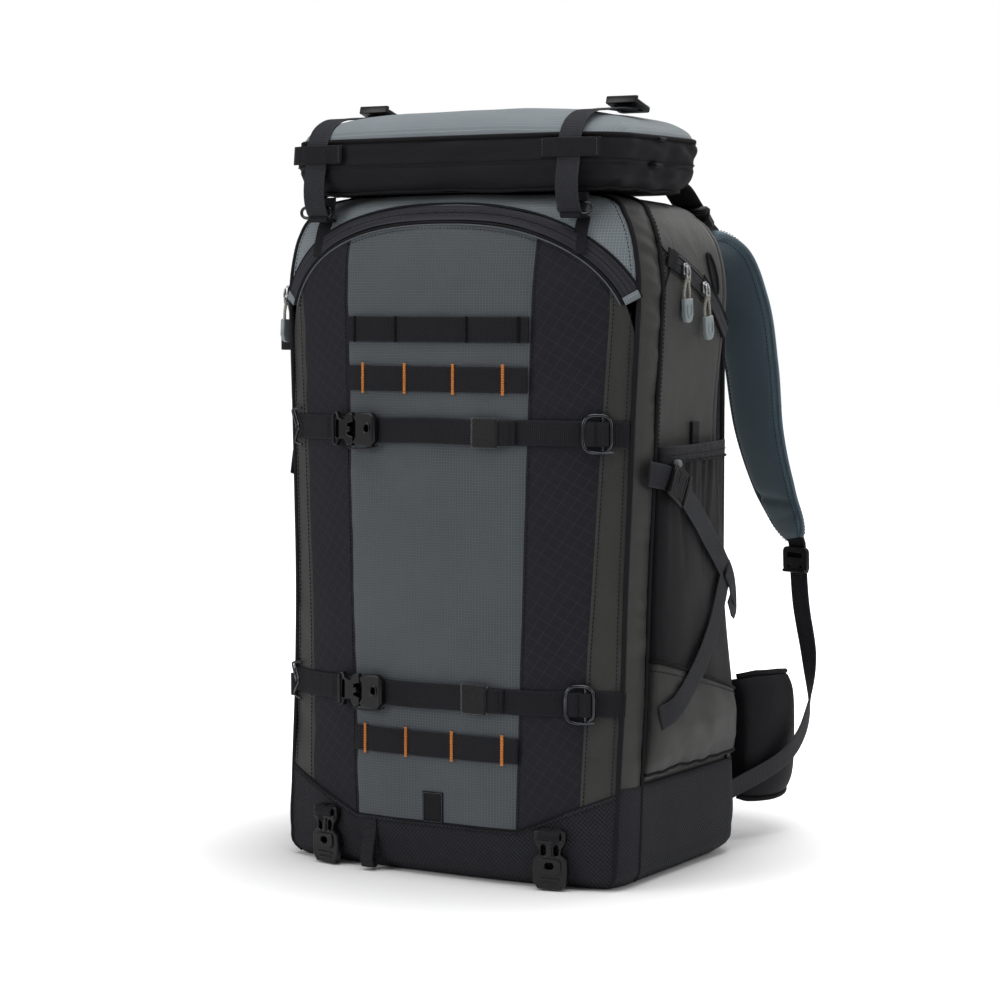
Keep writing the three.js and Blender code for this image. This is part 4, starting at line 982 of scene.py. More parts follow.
# Webbing of the front: ribbed polyester 20 mm wide. Three rows are tacked down in the middle, two of them
# with orange bar tacks, and two compression straps run from side seam to side seam through a buckle and a
# wire hook.
def webbing_material(name, dark, pale, pitch=0.0016, lane=0.0021, edge_half=0.0100):
    """Ribbed webbing: rows of small raised knuckles, staggered, their tops painted lighter as a highlight,
    with a tighter edge.
    """
    material, tree, shader = bare_material(name, 0.6, Specular_IOR_Level=0.16)
    flat = node(tree, "ShaderNodeUVMap", settings={"uv_map": "cloth"}).outputs[0]
    part = node(tree, "ShaderNodeSeparateXYZ", flat)
    row = sums(tree, "DIVIDE", part.outputs[1], pitch)
    odd = sums(tree, "MULTIPLY", sums(tree, "MODULO", sums(tree, "FLOOR", row), 2.0), 0.5)
    column = sums(tree, "ADD", sums(tree, "DIVIDE", part.outputs[0], lane), odd)
    along = sums(tree, "ABSOLUTE", sums(tree, "SINE", sums(tree, "MULTIPLY", row, math.pi)))
    across = sums(tree, "ABSOLUTE", sums(tree, "SINE", sums(tree, "MULTIPLY", column, math.pi)))
    knuckle = sums(tree, "MULTIPLY", along, sums(tree, "MULTIPLY_ADD", across, 0.6, 0.4))
    edge = sums(tree, "GREATER_THAN", sums(tree, "ABSOLUTE", part.outputs[0]), edge_half - 0.0012)
    faded = group_node(tree, fading, Vector=node(tree, "ShaderNodeTexCoord").outputs["Object"])
    # The colour factor is the random fading plus a painted highlight on the raised knuckles, and the edge
    # band is paler too.
    worn = sums(tree, "MULTIPLY_ADD", faded.outputs[0], 0.45, sums(tree, "MULTIPLY", knuckle, 0.4))
    colour = blend_colour(tree, sums(tree, "ADD", worn, sums(tree, "MULTIPLY", edge, 0.25)), dark, pale)
    tree.links.new(colour, shader.inputs["Base Color"])
    rise = node(tree, "ShaderNodeBump", Strength=0.8, Distance=0.0005, Height=knuckle)
    tree.links.new(rise.outputs[0], shader.inputs["Normal"])
    return material


black_webbing = webbing_material("black_webbing", shade("#101013"), shade("#232328"))
thread_orange = cloth_material(
    "thread_orange", shade("#cf7a3c"), shade("#ee9a50"), rough=0.65, thread=0.0005, flat_map=False,
)
web_width, web_thick, seat_gap = 0.020, 0.0015, 0.0003
web_rest = seat_gap + web_thick / 2


def tack_mesh(x, z, off, height, wide=0.0022):
    """A bar tack: thread laid to and fro over a short bar, standing upright on the webbing."""
    meshes = []
    count = int(height / 0.0009)
    for k in range(count):
        here = z + (k / (count - 1) - 0.5) * height
        swing = wide / 2 * (1 + 0.18 * math.sin(2.7 * k))
        line, out = on_front(
            np.array((x - swing, x, x + swing)), here + np.array((0, 0.0002, 0)) * (-1) ** k, off,
        )
        line[1] += out[1] * 0.0005
        meshes.append(sweep_mesh("tack", line, out, round_section(0.00055, 5)))
    return meshes


def front_web(x0, x1, z, off=web_rest, tacks=(), slack=0.0):
    """Webbing laid across the front at a height, rising a little between its tacks."""
    x = np.arange(x0, x1 + 0.0019, 0.002)
    rise = np.full_like(x, slack)
    for tack in tacks:
        rise *= 1 - np.exp(-(((x - tack) / 0.006) ** 2))
    wander = 0.0004 * np.sin(x * 61 + z * 40)
    return on_front(x, z + wander, off + rise)


row_specs = {
    "daisy_top": (0.436, 0.084, (-0.076, -0.035, 0.031, 0.076), False),
    "daisy_middle": (0.397, 0.083, (-0.067, -0.026, 0.019, 0.063), True),
    "daisy_bottom": (0.107, 0.076, (-0.065, -0.025, 0.018, 0.063), True),
}
orange, black_tacks = [], []
for name, (z, half, tacks, bright) in row_specs.items():
    x = np.arange(-half, half + 0.001, 0.002)
    rise = np.full_like(x, 0.0012)
    for tack in (*tacks, -half, half):
        rise *= 1 - 0.95 * np.exp(-(((x - tack) / 0.007) ** 2))
    line, out = on_front(x, z + 0 * x, 0)
    line += out * (web_rest + rise)[:, None]
    row = link_mesh(
        f"{name}_webbing", sweep_mesh("row", line, out, flat_section(web_width, web_thick)),
        [black_webbing],
    )
    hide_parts(name)
    for tack in tacks:
        made = tack_mesh(tack, z, seat_gap + web_thick + 0.0001, web_width + 0.003 * bright)
        (orange if bright else black_tacks).extend(made)
join_meshes("bar_tacks_orange", orange, [thread_orange])
join_meshes("bar_tacks_black", black_tacks, [thread_black])

fuzzy_elastic = cloth_material(
    "fuzzy_elastic", shade("#151516"), shade("#2c2c2c"), rough=0.9, thread=0.0011, bump=0.9, sheen=0.5,
)
buckle_black, buckle_tree, buckle_shader = bare_material("buckle_black", 0.32, Specular_IOR_Level=0.34)
spot = node(buckle_tree, "ShaderNodeTexCoord").outputs["Object"]
buckle_fade = group_node(buckle_tree, fading, Vector=spot, Scale=60.0, Flecks=0.5)
buckle_colour = blend_colour(buckle_tree, buckle_fade.outputs[0], shade("#08080a"), shade("#131315"))
buckle_tree.links.new(buckle_colour, buckle_shader.inputs["Base Color"])
buckle_grain = node(buckle_tree, "ShaderNodeTexNoise", Vector=spot, Scale=1400.0, Detail=2.0)
buckle_rise = node(
    buckle_tree, "ShaderNodeBump", Strength=0.15, Distance=0.0002, Height=buckle_grain.outputs[0],
)
buckle_tree.links.new(buckle_rise.outputs[0], buckle_shader.inputs["Normal"])


def fitting_material(name, rough, dark, pale, worn, **sockets):
    """Metal or plastic that drifts between two colours. Worn holds the sockets of the drift."""
    material, tree, shader = bare_material(name, rough, **sockets)
    spot = node(tree, "ShaderNodeTexCoord").outputs["Object"]
    drift = group_node(tree, fading, Vector=spot, **worn)
    colour = blend_colour(tree, drift.outputs[0], shade(dark), shade(pale))
    tree.links.new(colour, shader.inputs["Base Color"])
    return material


wire_worn = {"Scale": 90.0, "Flecks": 0.4}
wire_metal = fitting_material("wire_metal", 0.22, "#2b2c2f", "#5a5c60", wire_worn, Metallic=1.0)


def rounded_outline(width, height, radius, steps=4, centre=(0, 0)):
    points = []
    for sx, sy, start in ((1, -1, -90), (1, 1, 0), (-1, 1, 90), (-1, -1, 180)):
        for k in range(steps + 1):
            turn = math.radians(start + 90 * k / steps)
            x = sx * (width / 2 - radius) + radius * math.cos(turn)
            y = sy * (height / 2 - radius) + radius * math.sin(turn)
            points.append((x + centre[0], y + centre[1]))
    return points


def moulded_mesh(outlines, thick, seat, right, up, edge=0.0008):
    """A moulded plate with holes and rounded edges, its back at the seat."""
    curve = bpy.data.curves.new("plate", "CURVE")
    curve.dimensions = "2D"
    curve.fill_mode = "BOTH"
    curve.extrude = thick / 2 - edge
    curve.bevel_depth = edge
    curve.bevel_resolution = 2
    curve.offset = -edge
    for outline in outlines:
        spline = curve.splines.new("POLY")
        spline.points.add(len(outline) - 1)
        for point, (u, v) in zip(spline.points, outline):
            point.co = (u, v, 0, 1)
        spline.use_cyclic_u = True
    holder = bpy.data.objects.new("plate", curve)
    scene.collection.objects.link(holder)
    mesh = bpy.data.meshes.new_from_object(holder.evaluated_get(bpy.context.evaluated_depsgraph_get()))
    bpy.data.objects.remove(holder)
    bpy.data.curves.remove(curve)
    right = Vector(right).normalized()
    out = right.cross(Vector(up)).normalized()
    up = out.cross(right)
    place = Matrix((right, up, out)).transposed().to_4x4()
    place.translation = Vector(seat) + out * thick / 2
    mesh.transform(place)
    bm = bmesh.new()
    bm.from_mesh(mesh)
    bmesh.ops.remove_doubles(bm, verts=bm.verts, dist=1e-6)
    bmesh.ops.recalc_face_normals(bm, faces=bm.faces)
    bm.to_mesh(mesh)
    bm.free()
    return mesh


def seat_on_front(x, z, off):
    """A seat on the front: the place, and the directions to its right and up there."""
    step = 0.004
    places, out = on_front(np.array((x, x - step, x + step)), z, 0.0)
    right = Vector(places[2] - places[1]).normalized()
    up = Vector(out[0]).cross(right).normalized()
    return Vector(places[0] + out[0] * off), right, up


def local_path(points, seat, right, up):
    """Points drawn across, up and out from a seat."""
    right, up = Vector(right).normalized(), Vector(up).normalized()
    out = right.cross(up)
    return np.array([Vector(seat) + right * u + up * v + out * w for u, v, w in points])


def wire_mesh(points, radius, loop=False, step=0.0016, sides=8):
    """Round wire bent along points."""
    points = np.array(points)
    if loop:
        points = np.concatenate([points, points[:1]])
    line = even_path(points, step)
    if loop:
        line = line[:-1]
    for _ in range(3):
        soft = (np.roll(line, 1, 0) + np.roll(line, -1, 0) + 2 * line) / 4
        line = soft if loop else np.concatenate([line[:1], soft[1:-1], line[-1:]])
    middle = line.mean(0)
    normal = np.linalg.svd(line - middle)[2][-1]
    return sweep_mesh("wire", line, normal, round_section(radius, sides), loop=loop)


strap_specs = {"upper": (0.356, -0.072, 0.135, 0.038, 0.073), "lower": (0.146, -0.066, 0.124, 0.029, 0.064)}
strap_end = 0.1555
buckle_length = 0.022
for level, (z, buckle_x, hook_x, keeper_x, step_x) in strap_specs.items():
    base_line, base_out = front_web(-strap_end, strap_end, z)
    first = sweep_mesh("strap", base_line, base_out, flat_section(web_width, web_thick))
    over_line, over_out = front_web(
        buckle_x + 0.020, step_x, z, web_rest + web_thick + 0.0005, (buckle_x + 0.02, step_x), 0.0014,
    )
    second = sweep_mesh("strap", over_line, over_out, flat_section(web_width - 0.0004, web_thick))
    loop_line, loop_out = front_web(
        hook_x - 0.012, hook_x + 0.004, z, web_rest + web_thick + 0.0006, (), 0.0,
    )
    loop_line += loop_out * np.sin(np.linspace(0, math.pi, len(loop_line)))[:, None] * 0.0024
    third = sweep_mesh("strap", loop_line, loop_out, flat_section(web_width - 0.001, web_thick))
    end_line, end_out = front_web(
        buckle_x - 0.030, buckle_x - 0.012, z, web_rest + web_thick + 0.0004, (), 0.0006,
    )
    fourth = sweep_mesh("strap", end_line, end_out, flat_section(web_width - 0.001, web_thick))
    strap = join_meshes(
        f"front_strap_{level}_webbing", [first, second, third, fourth], [black_webbing],
    )
    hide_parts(f"front_strap_{level}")
    keeper_line, keeper_out = front_web(keeper_x, keeper_x + 0.021, z, web_rest + 2 * web_thick + 0.0012)
    keeper = sweep_mesh("keeper", keeper_line, keeper_out, flat_section(web_width + 0.0035, 0.0026))
    link_mesh(f"strap_keeper_{level}", keeper, [fuzzy_elastic])
    rows = []
    for x_row in (step_x - 0.0035, step_x + 0.0015, hook_x - 0.0125, buckle_x - 0.031):
        place, out = on_front(
            np.full(12, x_row), np.linspace(z - 0.0085, z + 0.0085, 12), web_rest + web_thick + 0.0018,
        )
        rows.append(stitch_mesh(place, out, pitch=0.0024, length=0.0016, thick=0.0006))
    join_meshes(f"strap_stitches_{level}", rows, [thread_black])

    # Side-release buckle: a tongue with two sprung arms, and a rounded socket with an eyelet.
    seat, right, up = seat_on_front(buckle_x - buckle_length / 2, z, 0.0030)
    half = 0.0135
    arms = [
        (-0.011, -half), (-0.007, -half), (-0.005, -0.0085), (0.001, -0.0075), (0.004, -0.0125),
        (0.009, -half), (0.011, -0.0105), (0.011, -0.006), (0.005, -0.0045), (0.005, 0.0045),
        (0.011, 0.006), (0.011, 0.0105), (0.009, half), (0.004, 0.0125), (0.001, 0.0075), (-0.005, 0.0085),
        (-0.007, half), (-0.011, half),
    ]
    tongue = [
        moulded_mesh(
            [arms, rounded_outline(0.0032, 0.0145, 0.0012, 3, (-0.0065, 0))], 0.0052, seat, right, up,
        ),
        moulded_mesh([rounded_outline(0.0046, 0.0045, 0.0018, 3)], 0.0068, seat + right * 0.007, right, up),
    ]
    tongue.append(
        moulded_mesh(
            [rounded_outline(0.0026, 0.024, 0.0010, 3)], 0.0068, seat - right * 0.0098, right, up, 0.0009,
        )
    )
    piece = join_meshes(f"buckle_{level}_tongue_moulded", tongue, [buckle_black])
    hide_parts(f"buckle_{level}_tongue")
    seat, right, up = seat_on_front(buckle_x + buckle_length / 2, z, 0.0030)
    shell = [
        (-0.011, -0.0105), (-0.006, -0.0135), (0.007, -0.0135), (0.0115, -0.009), (0.0115, 0.009),
        (0.007, 0.0135), (-0.006, 0.0135), (-0.011, 0.0105), (-0.0085, 0.0055), (-0.0085, -0.0055),
    ]
    eyelet = rounded_outline(0.0042, 0.0060, 0.0020, 4, (0.0035, 0.001))
    socket = [
        moulded_mesh([shell, eyelet], 0.0062, seat, right, up, 0.0011),
        moulded_mesh(
            [rounded_outline(0.0078, 0.0098, 0.0038, 5, (0.0035, 0.001)), eyelet], 0.0070, seat, right, up,
        ),
        moulded_mesh([rounded_outline(0.0018, 0.021, 0.0008, 3, (0.0092, 0))], 0.0070, seat, right, up),
    ]
    piece = join_meshes(f"buckle_{level}_socket_moulded", socket, [buckle_black])
    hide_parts(f"buckle_{level}_socket")
    low_loop = local_path(
        [
            (-0.020, -0.0125, 0.001), (-0.018, -0.0155, 0.002), (-0.008, -0.0158, 0.0025),
            (0.006, -0.0150, 0.0025), (0.0105, -0.0128, 0.001),
        ],
        seat, right, up,
    )
    link_mesh(f"buckle_{level}_wire", wire_mesh(low_loop, 0.0008), [buckle_black])

    # Wire hook on the right: a bent D of bright wire, the bar that the webbing goes round, and its pin.
    seat, right, up = seat_on_front(hook_x, z, web_rest + web_thick + 0.0019)
    d_shape = [(u, v, 0.0) for u, v in rounded_outline(0.022, 0.029, 0.0075, 5)]
    hook = [
        wire_mesh(local_path(d_shape, seat, right, up), 0.0016, loop=True),
        wire_mesh(
            local_path([(0.0045, -0.0135, -0.0002), (0.0045, 0.0135, -0.0002)], seat, right, up), 0.0013,
        ),
    ]
    piece = join_meshes(f"hook_{level}_wire", hook, [wire_metal])
    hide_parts(f"hook_{level}")
    pin = wire_mesh(
        local_path([(-0.002, -0.0146, 0.0012), (0.0125, -0.0142, 0.0012)], seat, right, up), 0.0012,
    )
    link_mesh(f"hook_{level}_pin", pin, [wire_metal])
    wrap_points = local_path(
        [
            (0.0095, 0, -0.001), (0.0078, 0, 0.0022), (0.0045, 0, 0.0030), (0.0012, 0, 0.0022),
            (-0.0005, 0, -0.001),
        ],
        seat, right, up,
    )
    wrap = sweep_mesh(
        "wrap", even_path(wrap_points, 0.001), Vector(right).cross(Vector(up)),
        flat_section(0.0185, 0.0014),
    )
    link_mesh(f"hook_{level}_wrap", wrap, [black_webbing])

    # Gate hook on the left: bright wire bent out and back in two points beside the seam.
    seat, right, up = seat_on_front(-0.1465, z, web_rest + web_thick + 0.0008)
    gate = [
        (0.006, 0.0150, 0), (-0.005, 0.0130, 0.001), (0.004, 0.0030, 0.0022), (0.0075, -0.0010, 0.0022),
        (0.003, -0.0060, 0.0022), (-0.004, -0.0130, 0.001), (0.007, -0.0150, 0),
    ]
    clip = [wire_mesh(local_path(gate, seat, right, up), 0.0011)]
    clip.append(
        wire_mesh(local_path([(u - 0.003, v, w + 0.001) for u, v, w in gate[:4]], seat, right, up), 0.0009)
    )
    join_meshes(f"gate_hook_{level}", clip, [wire_metal])

# Foot of the front: two big buckle halves hang from short webbing over the base's edge, and a narrow pull
# loop hangs beside the left one. The halves are glass-filled nylon with a waist, a round catch and raised
# ribs.
base_top, base_foot, base_x = 0.048, 0.001, 0.104
base_length = base_top - base_foot
for side, name in ((1, "right"), (-1, "left")):
    middle = (base_top + base_foot) / 2
    seat, right, up = seat_on_front(side * base_x, middle, 0.0022)
    up = Vector((0, 0, 1))
    half = base_length / 2
    outline = [
        (-0.013, half - 0.001), (-0.011, half), (0.011, half), (0.013, half - 0.001), (0.0128, half * 0.62),
        (0.0095, half * 0.40), (0.0085, half * 0.22), (0.0140, half * 0.02), (0.0143, -half * 0.35),
        (0.0136, -half * 0.72), (0.0100, -half * 0.97), (-0.0100, -half * 0.97), (-0.0136, -half * 0.72),
        (-0.0143, -half * 0.35), (-0.0140, half * 0.02), (-0.0085, half * 0.22), (-0.0095, half * 0.40),
        (-0.0128, half * 0.62),
    ]
    web_slot = rounded_outline(0.018, 0.0034, 0.0014, 3, (0, half * 0.80))
    ear_right = rounded_outline(0.0040, 0.0085, 0.0018, 3, (0.0052, half * 0.34))
    ear_left = rounded_outline(0.0040, 0.0085, 0.0018, 3, (-0.0052, half * 0.34))
    catch = rounded_outline(0.0074, 0.0052, 0.0024, 4, (0, -half * 0.18))
    plates = [
        moulded_mesh([outline, web_slot, ear_right, ear_left, catch], 0.0064, seat, right, up, 0.0011),
        moulded_mesh(
            [rounded_outline(0.0190, 0.0125, 0.0040, 4, (0, -half * 0.20)), catch], 0.0078, seat, right, up,
        ),
        moulded_mesh(
            [rounded_outline(0.0160, 0.0022, 0.0009, 3, (0, -half * 0.62))], 0.0074, seat, right, up,
        ),
        moulded_mesh(
            [rounded_outline(0.0130, 0.0020, 0.0009, 3, (0, -half * 0.78))], 0.0072, seat, right, up,
        ),
        moulded_mesh(
            [rounded_outline(0.0036, 0.0120, 0.0012, 3, (0, half * 0.36))], 0.0076, seat, right, up,
        ),
        moulded_mesh(
            [rounded_outline(0.0240, 0.0030, 0.0013, 3, (0, half * 0.64))], 0.0080, seat, right, up,
        ),
    ]
    buckle = join_meshes(f"base_buckle_{name}_moulded", plates, [buckle_black])
    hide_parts(f"base_buckle_{name}")
    hanger = local_path(
        [
            (0, half * 0.70, -0.0016), (0, half * 0.70, 0.0082), (0, half * 0.83, 0.0092),
            (0, half * 0.98, 0.0066), (0, half * 1.03, 0.001), (0, half * 1.02, -0.0018),
        ],
        seat, right, up,
    )
    hung = sweep_mesh("hanger", even_path(hanger, 0.0008), right.cross(up), flat_section(0.0180, 0.0012))
    link_mesh(f"base_hanger_{name}", hung, [black_webbing])

pull_x, pull_top, pull_foot, pull_width = -0.060, 0.042, 0.002, 0.012


def pull_at(share, off):
    z = pull_top - share * (pull_top - pull_foot)
    return (
        pull_x, float(front_y(np.array(pull_x), np.array(z))) - lift - seat_gap - web_thick / 2 - off, z,
    )


pull_y = pull_at(0.72, 0)[1]
pull_drop = pull_top - pull_foot
pull_points = [
    pull_at(0, 0.0004), pull_at(0.2, 0.0003), pull_at(0.4, 0.0003), pull_at(0.72, 0.0005),
    (pull_x, pull_y - 0.0006, pull_foot + 0.0040), (pull_x, pull_y - 0.0030, pull_foot + 0.0012),
    (pull_x, pull_y - 0.0068, pull_foot + 0.0014), (pull_x, pull_y - 0.0090, pull_foot + 0.2 * pull_drop),
    (pull_x, pull_y - 0.0065, pull_foot + 0.5 * pull_drop),
    (pull_x, pull_y - 0.0026, pull_foot + 0.82 * pull_drop),
    (pull_x, pull_y - 0.0022, pull_foot + 0.97 * pull_drop),
]
pull_mesh = sweep_mesh(
    "pull", even_path(pull_points, 0.0012), (1, 0, 0),
    [(y, x) for x, y in flat_section(pull_width, web_thick)]
)
narrow_webbing = webbing_material(
    "narrow_webbing", shade("#141417"), shade("#2c2c31"), pitch=0.0013, lane=0.0015, edge_half=0.006,
)
base_loop = link_mesh("base_pull_webbing", pull_mesh, [narrow_webbing])
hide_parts("base_pull")

# A small bare cloth label at the foot of the middle panel, sewn on at its edges.
label_x, label_z = -0.0005, 0.0565
label_spread = np.linspace(-0.0095, 0.0095, 6)
label_rise = np.linspace(-0.0125, 0.0125, 8)
label_place, _ = on_front(
    label_x + label_spread[None, :] + 0 * label_rise[:, None], label_z + label_rise[:, None], 0.0013,
)
label_flat = np.stack(np.broadcast_arrays(label_spread[None, :], label_rise[:, None]), -1)
panel("front_label", label_place, label_flat, [black_weave], "black_cloth", thick=0.0006, smooth=0)
rim = [(-0.0085, -0.0115), (0.0085, -0.0115), (0.0085, 0.0115), (-0.0085, 0.0115), (-0.0085, -0.0115)]
rim_line = even_path(rim, 0.001)
rim_place, rim_out = on_front(label_x + rim_line[:, 0], label_z + rim_line[:, 1], 0.0014)
link_mesh(
    "label_stitches", stitch_mesh(rim_place, rim_out, pitch=0.0022, length=0.0014, thick=0.0005),
    [thread_grey],
)

# Lid: a low padded box of cloth, pale ripstop on top and black weave round its wall and underneath. Dark
# piping runs round the edge of the top, a seam runs round the wall below it, and the wall is creased where
# the straps pull it in.
lid_foot, lid_height, lid_width = body_top + 0.0003, 0.069, 0.304
lid_front, lid_back, lid_corner = 0.102, 0.068, 0.034
# Columns: up as a share of the height, wide of half the width, front and back of the reaches.
lid_rows = np.array(
    [
        (0, 0.9, 0.87, 0.86), (0.09, 0.95, 0.95, 0.93), (0.26, 0.985, 1, 0.98), (0.44, 1, 1, 1),
        (0.62, 0.985, 0.97, 0.98), (0.77, 0.93, 0.9, 0.92), (0.885, 0.79, 0.76, 0.78),
        (0.96, 0.56, 0.54, 0.55), (1, 0.26, 0.25, 0.25),
    ]
)
lid_piping, lid_seam = 0.615, 0.30
lid_stations = 160


def lid_ring(up):
    """The lid's outline at a share of its height, from the middle of the rear round the right."""
    wide, front, back = np.moveaxis(read_table(lid_rows, up), -1, 0)
    half, ahead, behind = wide * lid_width / 2, front * lid_front, back * lid_back
    corner = min(lid_corner, half / 2, (ahead + behind) / 3)
    outline = rounded_outline(2 * half, ahead + behind, corner, 8, (0, (behind - ahead) / 2))
    ring = np.array(outline + outline[:1])
    ring[:, 1] -= np.where(ring[:, 1] < 0, 0.005 * wide * np.clip(1 - (ring[:, 0] / half) ** 2, 0, 1), 0)
    length = run_length(ring)
    even = np.linspace(0, length[-1], lid_stations, endpoint=False)
    return np.stack(
        [
            np.interp(even, length, ring[:, k]) for k in (0, 1)
        ] + [np.full(lid_stations, lid_foot + up * lid_height)],
        1
    )


wall_ups = np.concatenate(
    [np.linspace(0, 0.27, 9), [0.29, 0.30, 0.31], np.linspace(0.34, 0.59, 8), [lid_piping]]
)
crown_ups = np.concatenate([[0.64], np.linspace(0.67, 0.88, 9), np.linspace(0.90, 1.0, 8)])
lid_ups = np.concatenate([wall_ups, crown_ups])
lid_grid = np.stack([lid_ring(up) for up in lid_ups])
crown_middle = lid_grid[-1].mean(0)
closing = np.stack([mix(lid_grid[-1], crown_middle, t) for t in (0.4, 0.75, 0.97)])
lid_grid = np.concatenate([lid_grid, closing])
all_ups = np.concatenate([lid_ups, [1.0, 1.0, 1.0]])
lid_out = outward(lid_grid, True)
lid_out[-4:] = (0, 0, 1)
in_wall = (all_ups < lid_piping)[:, None]
near_piping = np.exp(-(((all_ups - lid_piping) / 0.05) ** 2))[:, None]
near_seam = np.exp(-(((all_ups - lid_seam) / 0.012) ** 2))[:, None]
long_folds = rumple(lid_grid * (0.42, 1.0, 1.5), 0.022, 3.3)
slanting = rumple(
    np.stack([lid_grid[..., 0] + 0.8 * lid_grid[..., 2], lid_grid[..., 1], lid_grid[..., 2] * 1.4], -1),
    0.017, 7.9,
)
to_ends = np.clip((np.abs(lid_grid[..., 0]) - 0.07) / 0.06, 0, 1)
wall_folds = long_folds * 0.0030 + slanting * (0.0008 + 0.0020 * to_ends)
top_folds = rumple(
    lid_grid * (0.6, 1.0, 1.0), 0.06, 5.1,
) * 0.0022 + rumple(lid_grid * (0.5, 1.2, 1.0), 0.02, 1.4) * 0.0006
lid_move = np.where(in_wall, wall_folds, top_folds) * (1 - 0.85 * near_piping) - 0.0013 * near_seam
under_strap = np.exp(-(((np.abs(lid_grid[..., 0]) - 0.117) / 0.011) ** 2)) * (lid_grid[..., 1] < 0.02)
lid_move = mix(lid_move, np.minimum(lid_move, 0) * 0.4 - 0.0004, under_strap)
lid_grid += lid_out * lid_move[..., None]
lid_round = run_length(lid_grid[8])
lid_flat = np.stack(np.broadcast_arrays(lid_round[None, :], all_ups[:, None] * lid_height * 1.4), -1)
lid_flat[len(wall_ups) :] = lid_grid[len(wall_ups) :, :, :2]
lid_kinds = np.broadcast_to(
    (all_ups[:-1] >= lid_piping).astype(int)[:, None], (len(all_ups) - 1, lid_stations),
)
lid_cloth = panel(
    "lid_cloth", lid_grid, lid_flat, [black_weave, pale_ripstop], "black_cloth", finish_of=lid_kinds,
    loop=True,
)
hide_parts("lid_shell")
foot_ring = lid_ring(0.0) + (0, 0, 0.0002)
foot_centre = np.array((0, -0.012, lid_foot + 0.0002))
underside = np.stack([mix(foot_ring, foot_centre, t) for t in (0.97, 0.7, 0.4, 0.15, 0.0)])
lid_under = panel(
    "lid_floor_cloth", underside, underside[..., :2].copy(), [black_weave], "black_cloth", thick=0.0015,
    loop=True,
)
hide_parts("lid_floor")

piping_row = int(np.where(lid_ups == lid_piping)[0][0])
edge_ring, edge_ring_out = lid_grid[piping_row], lid_out[piping_row]
foot_edge = lid_grid[1] + lid_out[1] * 0.0004
lid_trim = [
    sweep_mesh(
        "piping", edge_ring + edge_ring_out * 0.0004, edge_ring_out, round_section(0.0018), loop=True,
    ),
    sweep_mesh("piping", foot_edge, lid_out[1], round_section(0.0017), loop=True),
]
join_meshes("lid_piping", lid_trim, [thread_black])
below = lid_grid[piping_row - 1] + lid_out[piping_row - 1] * 0.0005
above = lid_grid[piping_row + 1] + lid_out[piping_row + 1] * 0.0002
lid_thread_rows = [
    stitch_mesh(below, lid_out[piping_row - 1]), stitch_mesh(above, lid_out[piping_row + 1], thick=0.0005),
    stitch_mesh(lid_grid[12] + lid_out[12] * 0.0002, lid_out[12]),
]
join_meshes("lid_stitches", lid_thread_rows, [thread_black])

# Small tabs of folded webbing, sewn into the lid's seams at its ends, two at each end.
tab_meshes = []
for up, y in ((0.60, -0.020), (0.30, -0.028)):
    ring = lid_ring(up)
    right_side = ring[ring[:, 0] > 0]
    seat = right_side[np.argmin(np.abs(right_side[:, 1] - y))]
    fold = [(-0.0020, 0.0008), (0.0030, 0.0010), (0.0044, 0.0), (0.0030, -0.0010), (-0.0020, -0.0008)]
    line = np.array([(seat[0] + out, seat[1], seat[2] + rise) for out, rise in fold])
    tab_meshes.append(
        sweep_mesh(
            "tab", even_path(line, 0.0006),
            np.cross((0, 1, 0), np.gradient(even_path(line, 0.0006), axis=0)), flat_section(0.010, 0.0012),
        )
    )
join_meshes("lid_tabs", tab_meshes + [mirror_mesh(m) for m in tab_meshes], [narrow_webbing])


# Lid straps: ribbed charcoal webbing from an adjuster on top, over the front edge and through a keeper,
# then down in a loop that turns round a black ring. The ring hangs from an anchor of webbing sewn to the
# front.
def smooth_path(points, step=0.002):
    """A curve through points that turns gently, as points a step apart."""
    p = np.asarray(points, float)
    p = np.concatenate([[2 * p[0] - p[1]], p, [2 * p[-1] - p[-2]]])
    found = []
    for a, b, c, d in zip(p[:-3], p[1:-2], p[2:-1], p[3:]):
        gaps = [max(float(np.linalg.norm(v - u)), 1e-9) ** 0.5 for u, v in ((a, b), (b, c), (c, d))]
        start = ((b - a) / gaps[0] - (c - a) / (gaps[0] + gaps[1]) + (c - b) / gaps[1]) * gaps[1]
        end = ((c - b) / gaps[1] - (d - b) / (gaps[1] + gaps[2]) + (d - c) / gaps[2]) * gaps[1]
        for t in np.linspace(0, 1, 16, endpoint=False):
            near = (2 * t**3 - 3 * t**2 + 1) * b + (t**3 - 2 * t**2 + t) * start
            found.append(near + (3 * t**2 - 2 * t**3) * c + (t**3 - t**2) * end)
    found.append(p[-2])
    return even_path(found, step)


def laid_band(name, path, across, section):
    """A band swept along a path, its width turned towards the given direction or directions."""
    ahead = np.gradient(path, axis=0)
    return sweep_mesh(name, path, np.cross(ahead, np.broadcast_to(across, path.shape)), section)


def lid_front_y(x, up):
    wide, front, _ = np.moveaxis(read_table(lid_rows, up), -1, 0)
    return -front * lid_front - 0.005 * wide * (1 - (x / (wide * lid_width / 2)) ** 2)


charcoal_webbing = webbing_material("charcoal_webbing", shade("#1d1d21"), shade("#36373c"))
ring_worn = {"Scale": 80.0, "Flecks": 0.3}
ring_gloss = {"Metallic": 0.4, "Specular_IOR_Level": 0.7}
ring_black = fitting_material("ring_black", 0.16, "#0d0d0f", "#232326", ring_worn, **ring_gloss)

